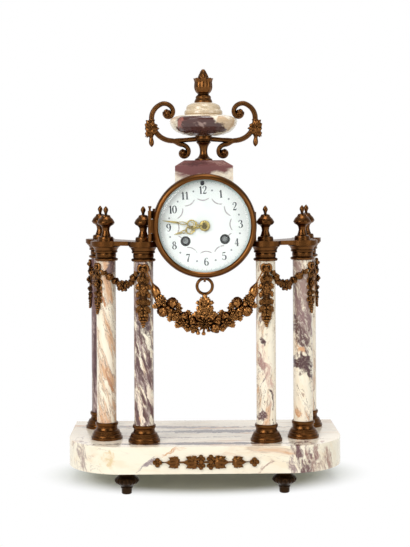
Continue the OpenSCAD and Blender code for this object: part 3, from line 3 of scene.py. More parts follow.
import bpy
import numpy as np
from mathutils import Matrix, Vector


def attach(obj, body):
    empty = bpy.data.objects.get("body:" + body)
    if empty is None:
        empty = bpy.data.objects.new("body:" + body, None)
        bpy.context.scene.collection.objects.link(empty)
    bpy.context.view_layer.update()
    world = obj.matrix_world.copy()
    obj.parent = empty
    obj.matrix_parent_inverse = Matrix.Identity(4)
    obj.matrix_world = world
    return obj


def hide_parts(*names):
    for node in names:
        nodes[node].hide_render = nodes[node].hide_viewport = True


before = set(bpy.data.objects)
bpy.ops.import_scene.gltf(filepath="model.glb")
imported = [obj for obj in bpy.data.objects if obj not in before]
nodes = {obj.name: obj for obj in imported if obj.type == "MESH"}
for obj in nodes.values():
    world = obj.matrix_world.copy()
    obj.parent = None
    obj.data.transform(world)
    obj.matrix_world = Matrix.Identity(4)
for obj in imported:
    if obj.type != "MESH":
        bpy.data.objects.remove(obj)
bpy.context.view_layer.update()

# The studio: the clock stands on a pale floor that runs into a white background. A large soft lamp hangs in
# front on the left, a weaker one on the right, one overhead. The camera is level with the dial's upper half.
scene = bpy.context.scene
scene.view_settings.view_transform = "Standard"

lens = bpy.data.cameras.new("camera")
lens.sensor_width = 36.0
lens.lens = 79.5
lens.shift_y = -0.148
lens.clip_end = 60.0
camera = bpy.data.objects.new("camera", lens)
camera.location = (-0.0183, -1.3522, 0.3250)
camera.rotation_euler = (math.radians(90), math.radians(0.30), math.radians(-0.84))
scene.collection.objects.link(camera)
scene.camera = camera

LAMPS_AIM = Vector((0, 0, 0.2))
for name, place, size, power in (
    ("lamp_front_left", (-1.1, -1.45, 1.0), 1.0, 21.5),
    ("lamp_front_right", (1.3, -1.2, 0.8), 0.9, 8.0),
    ("lamp_overhead", (0.1, -0.3, 2.6), 1.0, 22.0),
):
    lamp = bpy.data.lights.new(name, "AREA")
    lamp.size = size
    lamp.energy = power
    lamp_stand = bpy.data.objects.new(name, lamp)
    lamp_stand.location = place
    lamp_stand.rotation_euler = (LAMPS_AIM - Vector(place)).to_track_quat("-Z", "Y").to_euler()
    scene.collection.objects.link(lamp_stand)


def wire(tree, kind, ins=None, out=0, **settings):
    """Adds one shader node with these settings; ins gives each input a constant or another node's output.
    Gives the output that out names, or the node itself where out is None."""
    made = tree.nodes.new("ShaderNode" + kind)
    for key, value in settings.items():
        setattr(made, key, value)
    for key, value in (ins or {}).items():
        if isinstance(value, bpy.types.NodeSocket):
            tree.links.new(value, made.inputs[key])
        else:
            made.inputs[key].default_value = value
    return made if out is None else made.outputs[out]


def band(value, low, high):
    """Smooth step of a value: 0 at low, 1 at high, also where low is the larger."""
    return wire(value.id_data, "MapRange", {"Value": value, "From Min": low, "From Max": high},
                interpolation_type="SMOOTHSTEP")


def tree_of(values):
    """Node tree of the first output among constants and outputs."""
    return next(value.id_data for value in values if isinstance(value, bpy.types.NodeSocket))


def calc(operation, *values):
    """One Math node on constants or outputs."""
    return wire(tree_of(values), "Math", dict(enumerate(values)), operation=operation)


def vector(operation, *values, out=0):
    """One Vector Math node on constants or outputs."""
    return wire(tree_of(values), "VectorMath", dict(enumerate(values)), out=out, operation=operation)


def seen_white(tree):
    """1 on the rays that show the background itself, from the camera, off metal or through glass, and 0 on
    those that left a matt surface and only bring it light."""
    path = wire(tree, "LightPath", out=None)
    shown = calc("MAXIMUM", path.outputs["Is Camera Ray"], path.outputs["Is Glossy Ray"])
    shown = calc("MAXIMUM", shown, path.outputs["Is Transmission Ray"])
    return calc("MULTIPLY", shown, calc("LESS_THAN", path.outputs["Diffuse Depth"], 0.5))


WHITE = (1, 1, 1, 1)
world = bpy.data.worlds.new("studio")
scene.world = world
world.use_nodes = True
tree = world.node_tree
tree.nodes.clear()
path = wire(tree, "LightPath", out=None)
straight = calc("MAXIMUM", path.outputs["Is Camera Ray"], path.outputs["Is Transmission Ray"])
depth = wire(tree, "SeparateXYZ", {0: wire(tree, "TexCoord", out="Generated")}, out="Y")
mirrored = calc("MULTIPLY_ADD", band(depth, -0.3, 0.5), 0.42, 0.13)
mirrored = calc("MULTIPLY_ADD", band(depth, 0.80, 0.98), 0.45, mirrored)
room = wire(tree, "Background", {"Color": WHITE, "Strength": 0.48})
white = wire(tree, "Background", {"Color": WHITE, "Strength": calc("MAXIMUM", straight, mirrored)})
sky = wire(tree, "MixShader", {0: seen_white(tree), 1: room, 2: white})
wire(tree, "OutputWorld", {"Surface": sky}, out=None)

paper = bpy.data.materials.new("floor_paper")
paper.use_nodes = True
tree = paper.node_tree
tree.nodes.clear()
spot = vector("ADD", wire(tree, "TexCoord", out="Object"), (0, -0.05, 0))
spot = vector("DIVIDE", spot, (0.20, 0.12, 1))
away = vector("LENGTH", spot, out="Value")
pale = wire(tree, "BsdfDiffuse", {"Color": (0.69, 0.72, 0.665, 1)})
glow = calc("MULTIPLY", seen_white(tree), 0.01)
lift = wire(tree, "Emission", {"Color": WHITE, "Strength": glow})
near = wire(tree, "AddShader", {0: pale, 1: lift})
far = wire(tree, "Emission", {"Color": WHITE, "Strength": 1.0})
faded = calc("MULTIPLY", band(away, 0.60, 0.99), seen_white(tree))
floor_look = wire(tree, "MixShader", {0: faded, 1: near, 2: far})
wire(tree, "OutputMaterial", {"Surface": floor_look}, out=None)

FLOOR_POINTS = 64
ring = np.arange(FLOOR_POINTS)
step = (ring + 1) % FLOOR_POINTS
turn, reach = np.meshgrid(2 * np.pi * ring / FLOOR_POINTS, np.array([0.25, 0.6, 9.0]))
disc = np.stack([reach * np.cos(turn), reach * np.sin(turn), 0 * reach], axis=-1).reshape(-1, 3)
bands = [np.stack([ring, FLOOR_POINTS + ring, FLOOR_POINTS + step, step], axis=-1) + k * FLOOR_POINTS
         for k in (0, 1)]
floor_mesh = bpy.data.meshes.new("floor")
floor_mesh.from_pydata(disc, [], [ring.tolist()] + np.concatenate(bands).tolist())
floor_mesh.materials.append(paper)
floor = bpy.data.objects.new("floor", floor_mesh)
scene.collection.objects.link(floor)

# The plinth: one slab of cream marble with rounded front corners, sawn, ground and polished. Grey-lilac veins
# run along its top, and plum ones break out on the right of its front.


def new_group(name, ins, outs):
    """Shader node group: ins and outs give each socket's type. Gives it and its input and output sockets."""
    group = bpy.data.node_groups.new(name, "ShaderNodeTree")
    for label, kind in ins.items():
        group.interface.new_socket(label, in_out="INPUT", socket_type="NodeSocket" + kind)
    for label, kind in outs.items():
        group.interface.new_socket(label, in_out="OUTPUT", socket_type="NodeSocket" + kind)
    return group, group.nodes.new("NodeGroupInput").outputs, group.nodes.new("NodeGroupOutput").inputs


def new_finish(name):
    """A material, its node tree and its main shader."""
    material = bpy.data.materials.new(name)
    material.use_nodes = True
    return material, material.node_tree, material.node_tree.nodes["Principled BSDF"]


def surfaced(shader, tone, rough, height, dent, deep):
    """Feeds a colour, a roughness and a relief, with its strength and depth, into a shader."""
    tree = shader.id_data
    tree.links.new(tone, shader.inputs["Base Color"])
    tree.links.new(rough, shader.inputs["Roughness"])
    bump = wire(tree, "Bump", {"Height": height, "Strength": dent, "Distance": deep})
    tree.links.new(bump, shader.inputs["Normal"])


def scaled(place, size):
    """A place times one number."""
    return wire(place.id_data, "VectorMath", {0: place, "Scale": size}, operation="SCALE")


def mixed(share, first, second):
    """First colour, turning into the second as share goes from 0 to 1."""
    return wire(share.id_data, "Mix", {0: share, 6: first, 7: second}, out=2, data_type="RGBA")


CREAM = (0.93, 0.84, 0.69, 1)
PEACH = (0.66, 0.36, 0.19, 1)
LILAC = (0.35, 0.245, 0.235, 1)
PLUM = (0.080, 0.032, 0.034, 1)
FINISH = {"Colour": "Color", "Roughness": "Float", "Height": "Float"}

stone_veins, given, put_out = new_group(
    "stone_veins",
    {"Place": "Vector", "Size": "Float", "Peach": "Float", "Lilac": "Float", "Plum": "Float",
     "Vein": "Float"}, FINISH)
tree = stone_veins
spread = scaled(given["Place"], given["Size"])
swirl = wire(tree, "TexNoise", {"Vector": spread, "Scale": 1.4, "Detail": 3.0}, out="Color")
swirl = vector("SUBTRACT", swirl, (0.5, 0.5, 0.5))
bent = vector("MULTIPLY_ADD", swirl, (0.75, 0.75, 0.75), spread)


def cloud(place, shift, scale, detail):
    """Noise value round a shifted place."""
    moved = vector("ADD", place, shift)
    return wire(place.id_data, "TexNoise", {"Vector": moved, "Scale": scale, "Detail": detail,
                                            "Roughness": 0.6})


def level(noise, share):
    """Noise lifted or sunk by the share of the stone that it is to cover: above 0 inside, below 0 beside."""
    return calc("MULTIPLY_ADD", share, 0.30, calc("SUBTRACT", noise, 0.70))


def outline(edge, half):
    """1 along the edge of a coloured bed, fading over that half width of its level."""
    return band(calc("ABSOLUTE", edge), half, 0.2 * half)


warm = band(cloud(bent, (9, 2, 7), 2.6, 8.0), 0.44, 0.66)
peach = level(cloud(bent, (0, 0, 0), 1.2, 8.0), given["Peach"])
lilac = level(cloud(bent, (7, 3, 1), 1.5, 9.0), given["Lilac"])
plum = level(cloud(bent, (2, 9, 4), 1.3, 9.0), given["Plum"])
peach_line = calc("MULTIPLY", outline(peach, 0.016), 0.55)
line = calc("MAXIMUM", peach_line, outline(lilac, 0.014))
hair = outline(calc("SUBTRACT", cloud(bent, (3, 1, 2), 3.4, 6.0), 0.5), 0.014)
some = band(cloud(spread, (1, 6, 3), 1.3, 2.0), 0.45, 0.58)
line = calc("MAXIMUM", line, calc("MULTIPLY", hair, some))
line = calc("MULTIPLY", line, given["Vein"])
depth = band(cloud(bent, (4, 8, 2), 3.2, 8.0), 0.40, 0.60)
lilac_tone = mixed(depth, (0.50, 0.385, 0.355, 1), (0.20, 0.125, 0.12, 1))
plum_tone = mixed(depth, (0.17, 0.085, 0.085, 1), PLUM)
tone = mixed(calc("MULTIPLY", warm, 0.45), CREAM, (0.86, 0.68, 0.47, 1))
tone = mixed(calc("MULTIPLY", band(peach, -0.07, 0.10), 0.92), tone, PEACH)
tone = mixed(band(lilac, -0.04, 0.05), tone, lilac_tone)
tone = mixed(band(plum, -0.04, 0.05), tone, plum_tone)
tone = mixed(line, tone, (0.13, 0.060, 0.050, 1))
tree.links.new(tone, put_out["Colour"])
grain = cloud(spread, (4, 4, 4), 9.0, 4.0)
tree.links.new(calc("MULTIPLY_ADD", grain, 0.14, 0.16), put_out["Roughness"])
tree.links.new(calc("MULTIPLY_ADD", line, -0.6, grain), put_out["Height"])

stone_mark, given, put_out = new_group(
    "stone_mark",
    {"Place": "Vector", "Centre": "Vector", "Reach": "Vector", "Turn": "Float", "Grain": "Float",
     "Strength": "Float"},
    {"Mask": "Float"})
tree = stone_mark
ragged = wire(tree, "TexNoise", {"Vector": given["Place"], "Scale": 90.0, "Detail": 5.0}, out="Color")
ragged = vector("SUBTRACT", ragged, (0.5, 0.5, 0.5))
place = vector("MULTIPLY_ADD", ragged, (0.012, 0.012, 0.012), given["Place"])
place = wire(tree, "VectorRotate", {"Vector": place, "Center": given["Centre"], "Angle": given["Turn"]},
             rotation_type="Y_AXIS")
place = vector("SUBTRACT", place, given["Centre"])
place = vector("DIVIDE", place, given["Reach"])
away = vector("LENGTH", place, out="Value")
own = vector("MULTIPLY_ADD", given["Centre"], (170, 170, 170), place)
streaks = cloud(own, (6, 2, 9), given["Grain"], 9.0)
full = calc("ADD", streaks, calc("MULTIPLY_ADD", given["Strength"], 0.35, 0.15))
thin = cloud(own, (1, 4, 7), calc("MULTIPLY", given["Grain"], 2.4), 7.0)
breaks = calc("MAXIMUM", calc("MULTIPLY_ADD", given["Strength"], -0.75, 0.97), 0.0)
thin = calc("SUBTRACT", 1.0, calc("MULTIPLY", band(thin, 0.51, 0.65), breaks))
bed = band(calc("MULTIPLY_ADD", away, -0.5, full), 0.51, 0.69)
tree.links.new(calc("MULTIPLY", bed, thin), put_out["Mask"])


def marble(name, size, peach, lilac, plum, vein, shift=(0, 0, 0), turn=(0, 0, 0), stretch=(1, 1, 1),
           marks=()):
    """Polished marble: beds laid square to the turned and stretched grain, then single marks where the stone
    shows them, or where painted shade darkens it. A mark has its middle and reach in millimetres, turn in
    degrees, fineness of streaks, colour and share covered."""
    material, tree, shader = new_finish(name)
    place = wire(tree, "TexCoord", out="Object")
    laid = wire(tree, "VectorRotate", {"Vector": place, "Rotation": [math.radians(a) for a in turn]},
                rotation_type="EULER_XYZ")
    laid = vector("MULTIPLY_ADD", laid, stretch, shift)
    stone = wire(tree, "Group", {"Place": laid, "Size": size, "Peach": peach, "Lilac": lilac, "Plum": plum,
                                 "Vein": vein}, out=None, node_tree=stone_veins)
    tone = stone.outputs["Colour"]
    for middle, reach, slant, grain, paint, strength in marks:
        mask = wire(tree, "Group", {"Place": place, "Centre": [0.001 * v for v in middle],
                                    "Reach": [0.001 * v for v in reach], "Turn": math.radians(slant),
                                    "Grain": grain, "Strength": strength}, node_tree=stone_mark)
        tone = mixed(mask, tone, paint)
    shader.inputs["Coat Weight"].default_value = 0.25
    shader.inputs["Coat Roughness"].default_value = 0.08
    surfaced(shader, tone, stone.outputs["Roughness"], stone.outputs["Height"], 0.06, 0.0004)
    return material


def dress(material, *names):
    """Gives CAD nodes their finish."""
    for name in names:
        if not nodes[name].material_slots:
            nodes[name].data.materials.append(material)
        for place in nodes[name].material_slots:
            place.material = material


PLINTH_MARKS = (
    ((0, 8, 57), (260, 44, 4.5), 0, 4, (0.62, 0.53, 0.46, 1), 0.10),
    ((22, 10, 57), (76, 10, 5), 0, 3, (0.13, 0.095, 0.10, 1), 1.2),
    ((-10, 34, 57), (150, 7, 4), 0, 3, (0.22, 0.17, 0.165, 1), 0.9),
    ((-8, -56, 57), (110, 7, 5), 0, 3, (0.11, 0.075, 0.07, 1), 1.2),
    ((-40, -22, 57), (120, 6, 4), 0, 3, (0.30, 0.24, 0.215, 1), 0.7),
    ((-90, 40, 57), (90, 9, 4), 0, 3, (0.24, 0.19, 0.18, 1), 0.8),
    ((-104, -66, 42), (24, 60, 30), 8, 3, (0.78, 0.60, 0.36, 1), 0.1),
    ((20, -72, 49), (60, 40, 12), 0, 3, (0.84, 0.67, 0.52, 1), 0.0),
    ((104, -66, 42), (34, 80, 110), 10, 5.0, (0.15, 0.068, 0.070, 1), 0.10),
    ((118, -60, 38), (30, 80, 120), 14, 5.0, (0.30, 0.15, 0.13, 1), 0.0),
    ((130, -52, 40), (16, 60, 80), 12, 3.4, (0.40, 0.24, 0.19, 1), 0.1),
    ((92, -66, 34), (8, 40, 24), 30, 2.4, LILAC, 0.4),
    ((-62, -72, 38), (4, 30, 22), -52, 2.0, (0.30, 0.225, 0.24, 1), 0.7),
    ((-34, -72, 51), (4, 30, 40), -68, 3.0, PEACH, 0.2),
    ((66, -72, 36), (7, 40, 26), -52, 2.6, (0.50, 0.34, 0.27, 1), 0.3),
    ((-132, -45, 42), (18, 60, 90), 14, 4.0, (0.44, 0.33, 0.29, 1), 0.2),
)
dress(marble("marble_plinth", 17.0, 0.34, -0.10, -0.5, 0.42, shift=(0.4, 0.1, 0.0), turn=(0, -6, 3),
             stretch=(0.40, 2.2, 1.6), marks=PLINTH_MARKS), "base_plinth")

# The feet: turned from cast bronze, a gadrooned bulb over a short tapered peg, each held by a stud in the
# slab. Their finish is the brown-gold patina of all the clock's bronze, dark in the grooves as patina and
# painted shade, gold on the edges as wear and painted highlight, and darkened almost to black all over as
# painted shade for the shadow under the slab.
bronze_patina_and_painted_light, given, put_out = new_group(
    "bronze_patina_and_painted_light",
    {"Place": "Vector", "Size": "Float", "Open": "Float", "Edge": "Float", "Gold": "Float",
     "Dark": "Float"}, FINISH)
tree = bronze_patina_and_painted_light
spread = scaled(given["Place"], given["Size"])
broad = cloud(spread, (0, 0, 0), 1.0, 5.0)
fine = cloud(spread, (2, 5, 3), 7.0, 5.0)
red = cloud(spread, (8, 1, 6), 1.7, 3.0)
shade = calc("MULTIPLY_ADD", calc("SUBTRACT", fine, 0.5), 0.5, given["Open"])
tone = mixed(calc("MULTIPLY", band(broad, 0.45, 0.75), 0.55), (0.150, 0.057, 0.0145, 1),
             (0.062, 0.024, 0.0065, 1))
tone = mixed(calc("MULTIPLY", band(red, 0.50, 0.75), 0.4), tone, (0.145, 0.044, 0.011, 1))
# Edges and raised parts turn towards gold: partly wear on the gilding, partly painted highlight.
edge_wear_sheen = calc("MULTIPLY_ADD", calc("SUBTRACT", fine, 0.5), 0.9, given["Edge"])
raised_wear_sheen = calc("MULTIPLY", band(shade, 0.78, 1.08), 0.5)
edge_wear_sheen = calc("MAXIMUM", band(edge_wear_sheen, 0.12, 0.65), raised_wear_sheen)
tone = mixed(calc("MULTIPLY", edge_wear_sheen, given["Gold"]), tone, (0.50, 0.225, 0.068, 1))
# Dark turns the whole piece towards near black; the feet and the drops' ground use it for painted shade.
tone = mixed(given["Dark"], tone, (0.030, 0.017, 0.009, 1))
# Near black where the surface lies within reach of its own hollows: partly patina gathered there, partly
# painted shade.
tone = mixed(band(shade, 0.96, 0.48), tone, (0.010, 0.0045, 0.002, 1))
tree.links.new(tone, put_out["Colour"])
rough = calc("MULTIPLY_ADD", shade, -0.18, 0.44)
tree.links.new(calc("MULTIPLY_ADD", broad, 0.12, rough), put_out["Roughness"])
tree.links.new(calc("MULTIPLY_ADD", broad, 0.6, fine), put_out["Height"])


def bronze(name, size=45.0, hollow=0.004, gold=0.6, dent=0.12, edge=0.0012, dark=0.0):
    """Aged bronze: dark within reach of its own hollows, as patina and painted shade; gold on its edges and
    raised parts, as wear and painted highlight.
    """
    material, tree, shader = new_finish(name)
    place = wire(tree, "TexCoord", out="Object")
    open_air = wire(tree, "AmbientOcclusion", {"Distance": hollow}, out="AO", samples=6, only_local=True)
    filled = wire(tree, "AmbientOcclusion", {"Distance": edge}, out="AO", samples=6, only_local=True,
                  inside=True)
    metal = wire(tree, "Group", {"Place": place, "Size": size, "Open": open_air,
                                 "Edge": calc("SUBTRACT", 1.0, filled), "Gold": gold, "Dark": dark},
                 out=None, node_tree=bronze_patina_and_painted_light)
    shader.inputs["Metallic"].default_value = 1.0
    surfaced(shader, metal.outputs["Colour"], metal.outputs["Roughness"], metal.outputs["Height"], dent,
             0.0006)
    return material


def closed_mesh(name, shapes):
    """Mesh of closed skins in millimetres. A shape is an array of copies, rings, points round a ring and x,
    y, z: each ring is joined to the next one, and the first and last are closed by a fan to their middle. A
    copy whose faces would point inwards has its rings turned round."""
    corners, four, three, start = [], [], [], 0
    for rings in shapes:
        rings = np.array(rings, dtype=float)
        rings = rings[None] if rings.ndim == 3 else rings
        copies, rows, cols, _ = rings.shape
        j = np.arange(cols)
        n = (j + 1) % cols
        i = np.arange(rows - 1)[:, None] * cols
        last = (rows - 1) * cols
        quads = np.stack([i + j, i + n, i + cols + n, i + cols + j], axis=-1).reshape(-1, 4)
        low = np.stack([n, j, np.full(cols, rows * cols)], axis=-1)
        high = np.stack([last + j, last + n, np.full(cols, rows * cols + 1)], axis=-1)
        tris = np.concatenate([quads[:, :3], quads[:, [0, 2, 3]], low, high])
        for _ in range(2):
            middles = rings[:, [0, -1]].mean(axis=2)
            block = np.concatenate([rings.reshape(copies, -1, 3), middles], axis=1)
            solid = block - block.mean(axis=1, keepdims=True)
            a, b, c = solid[:, tris[:, 0]], solid[:, tris[:, 1]], solid[:, tris[:, 2]]
            inward = (a * np.cross(b, c)).sum(axis=(1, 2)) < 0
            rings[inward] = rings[inward][:, :, ::-1]
        offset = start + (rows * cols + 2) * np.arange(copies)[:, None, None]
        corners.append(block.reshape(-1, 3))
        four.append((quads + offset).reshape(-1, 4))
        three.append((np.concatenate([low, high]) + offset).reshape(-1, 3))
        start += copies * (rows * cols + 2)
    mesh = bpy.data.meshes.new(name)
    mesh.from_pydata(np.concatenate(corners) * 0.001, [],
                     np.concatenate(four).tolist() + np.concatenate(three).tolist())
    mesh.polygons.foreach_set("use_smooth", np.ones(len(mesh.polygons), dtype=bool))
    return mesh


def fitted(name, shapes, material, body, slot, *replaced):
    """A piece of the clock from closed skins: its finish, the body it rides on and the nodes it replaces."""
    mesh = closed_mesh(name, shapes)
    mesh.materials.append(material)
    piece = bpy.data.objects.new(name, mesh)
    scene.collection.objects.link(piece)
    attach(piece, body)
    if replaced:
        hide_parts(*replaced)


def round_steps(count):
    """Angles of count points round a ring."""
    return np.linspace(0, 2 * np.pi, count, endpoint=False)


def profile_grid(line, rows, cols):
    """Radius, height and angle over a turned profile whose points are joined by straight stretches."""
    t = np.linspace(0, len(line) - 1, rows)
    radius, high = [np.interp(t, np.arange(len(line)), line[:, k])[:, None] for k in (0, 1)]
    return np.broadcast_arrays(radius, high, round_steps(cols))


FOOT_TALL = 26.8
FOOT_AT = [(85.4 * side, y) for side in (-1, 1) for y in (-44.3, 48.3)]
FOOT_LINE = np.array([
    (4.7, 0), (5.5, .03), (5.7, .22), (6.4, .24), (6.5, .27), (6.1, .29), (8.2, .36), (11.4, .43),
    (13.1, .50), (13.3, .56), (12.4, .63), (9.6, .71), (8.6, .76), (8.6, .84), (11.0, .88), (11.0, 1)])


def foot_skin(x, y):
    """Turned profile about a foot's axis: radius by height, with eighteen gadroons cut into the bulb."""
    radius, high, round_it = profile_grid(FOOT_LINE, 62, 108)
    cut = np.exp(-(((high - 0.53) / 0.11) ** 2)) * (1 - np.abs(np.cos(9 * round_it)) ** 0.7)
    radius = radius * (1 - 0.13 * cut)
    return np.stack([x + radius * np.cos(round_it), y + radius * np.sin(round_it), FOOT_TALL * high], axis=-1)


# The feet's bronze is turned almost black all over: painted shade for the shadow under the slab.
fitted("gadrooned_feet", [foot_skin(x, y) for x, y in FOOT_AT],
       bronze("shadowed_foot_bronze", gold=0.1, dark=0.96), "case", "bronze", "feet")

# The frieze: a cast and chased bronze mount pinned on the front of the slab. Small flowers stand in its
# middle, and on each side two five-lobed leaves run outwards from them to a flower at the end.


def round_and_along(cols, rows, low=0.0, high=1.0):
    """Grids of the angle round a form and of the way along it."""
    return np.meshgrid(round_steps(cols), np.linspace(low, high, rows))


def rosette(petals, cup=0.3, sharp=0.0):
    """Unit flower about +z: its radius swells and shrinks once for each petal, in a round wave or, where
    sharp is above 0, in a pointed one to that power. Its face rises to the rim, dips between petals and has a
    boss in the middle. Rings go from the back's middle over the rim to the front's."""
    round_it, along = round_and_along(petals * 6, 11)
    lobe = np.abs(np.sin(0.5 * petals * round_it)) ** 0.55
    low = 0.70
    if sharp:
        lobe = (1 - np.abs(1 - (petals * round_it / np.pi) % 2)) ** sharp
        low = 0.50
    out = np.where(along < 0.3, along / 0.3, (1 - along) / 0.7)
    radius = out * (low + (1 - low) * lobe * out)
    face = cup * out ** 2 + 0.22 * lobe * np.sin(np.pi * out) - 0.16 * (1 - lobe) * out
    face = face + 0.34 * np.exp(-((out / 0.24) ** 2)) + 0.1
    back = -0.30 + (cup + 0.16) * out ** 2
    height = np.where(along < 0.3, back, face)
    return np.stack([radius * np.cos(round_it), radius * np.sin(round_it), height], axis=-1)


def ball(round_it, along, radius=1.0):
    """Points of a ball by the angle round it and the angle down from its tip."""
    return np.stack([radius * np.sin(along) * np.cos(round_it), radius * np.sin(along) * np.sin(round_it),
                     radius * np.cos(along)], axis=-1)


def rosebud(petals=3, wind=1.3):
    """Unit ball about +z that is wrapped in petals: going round, the radius rises slowly over each petal and
    drops at its edge, and the edges wind towards the tip."""
    round_it, along = round_and_along(36, 14, 0.14, np.pi - 0.14)
    wrap = (petals * round_it / (2 * np.pi) + wind * (1 + np.cos(along))) % 1
    return ball(round_it, along, 0.74 + 0.28 * np.minimum(wrap / 0.82, (1 - wrap) / 0.18))


def leaf(lobes, slim=0.4, dome=0.16, curl=0.12):
    """Unit leaf along +x with its face to +z: the half width is an arch cut by lobes, the face is domed with
    a groove on the midrib and slanting veins, and the tip bends by curl times the length squared."""
    round_it, along = round_and_along(14, 17, 0.01, 0.99)
    across = np.cos(round_it)
    arch = np.sin(np.pi * along ** 0.8) ** 0.75
    width = slim * arch * (1 + 0.24 * np.sin(2 * np.pi * lobes * along - 0.6))
    top = np.sin(round_it)
    vein = 0.03 * np.cos(2 * np.pi * lobes * (along - 0.5 * np.abs(across)))
    ridge = dome * arch * top - np.where(top > 0, 0.10 * np.exp(-((across / 0.2) ** 2)) * arch, 0)
    height = np.where(top > 0, ridge + vein * top, 0.35 * dome * arch * top) + curl * along ** 2
    return np.stack([along, width * across, height], axis=-1)


def berry(rows=6, cols=9):
    """Unit ball."""
    return ball(*round_and_along(cols, rows, 0.12, np.pi - 0.12))


def unit(rows):
    """Vectors brought to length 1."""
    return rows / np.linalg.norm(rows, axis=-1, keepdims=True)


def placed(shape, at, along, out, size):
    """Copies of a unit shape: its x axis goes along a direction, its z axis out of the surface. Its size is a
    tuple of three numbers for all copies, or an array with one or three numbers for each."""
    at = np.atleast_2d(np.asarray(at, float))
    out = unit(np.broadcast_to(np.asarray(out, float), at.shape))
    along = np.broadcast_to(np.asarray(along, float), at.shape)
    along = unit(along - (along * out).sum(axis=1, keepdims=True) * out)
    each = np.array(size, dtype=float)
    each = each[:, None] if each.ndim == 1 and not isinstance(size, tuple) else each
    size = np.broadcast_to(each, at.shape)
    axes = np.stack([along, np.cross(out, along), out], axis=1) * size[:, :, None]
    return at[:, None, None, :] + np.einsum("rcj,kjx->krcx", shape, axes)


def turning(angles):
    """Directions in the plane of the clock's front, in degrees up from +x."""
    angles = np.radians(np.atleast_1d(np.asarray(angles, float)))
    return np.stack([np.cos(angles), 0 * angles, np.sin(angles)], axis=-1)


# The garland's bronze has a large gold share on its raised parts: partly wear, partly painted highlight.
cast_bronze = bronze("cast_bronze", size=80.0, hollow=0.0025, gold=2.2, dent=0.25, edge=0.0004)
chased_bronze = bronze("chased_bronze", size=80.0, hollow=0.0036, gold=0.40, dent=0.2, edge=0.0005, dark=0.15)
FRONT = (0, -1, 0)
SIDEWAYS = (1, 0, 0)
FRIEZE_Y, FRIEZE_Z = -72.6, 39.5
LOBES = ((1.1, 0, 1.0), (0.5, 27, 0.84), (0.5, -27, 0.84), (0.0, 56, 0.56), (0.0, -56, 0.56))
leaf_foot = np.array([9.4, 29.0])
leaf_long = np.array([16.0, 14.4])
flower = rosette(4, 0.2)


def on_frieze(x, lift=0.0):
    """Places on the frieze's middle line, raised from the slab by lift."""
    return np.stack([x, np.full(len(x), FRIEZE_Y - lift), np.full(len(x), FRIEZE_Z)], axis=-1)


frieze = []
for hand in (-1, 1):
    for lift, spread_by, share in LOBES:
        heading = 180 * (hand < 0) + spread_by
        frieze.append(placed(leaf(2, 0.19, 0.2), on_frieze(hand * leaf_foot, lift), turning(heading), FRONT,
                             np.stack([leaf_long * share, leaf_long, leaf_long * 0.62], axis=-1)))
    frieze.append(placed(flower, (hand * 51.4, FRIEZE_Y - 0.4, FRIEZE_Z), turning(45), FRONT,
                         (5.2, 5.2, 4.0)))
    for up in (-1, 1):
        frieze.append(placed(flower, (hand * 5.2, FRIEZE_Y - 0.4, FRIEZE_Z + 3.6 * up), turning(45), FRONT,
                             (4.6, 4.6, 3.6)))
    frieze.append(placed(berry(), on_frieze(hand * (leaf_foot + 1.2), 0.9), SIDEWAYS, FRONT, (2.3, 1.6, 1.9)))
frieze.append(placed(berry(), [(0, FRIEZE_Y - 0.6, FRIEZE_Z)], SIDEWAYS, FRONT, (54.0, 1.1, 1.0)))
fitted("frieze_leaves", frieze, chased_bronze, "case", "bronze", "frieze_mount")

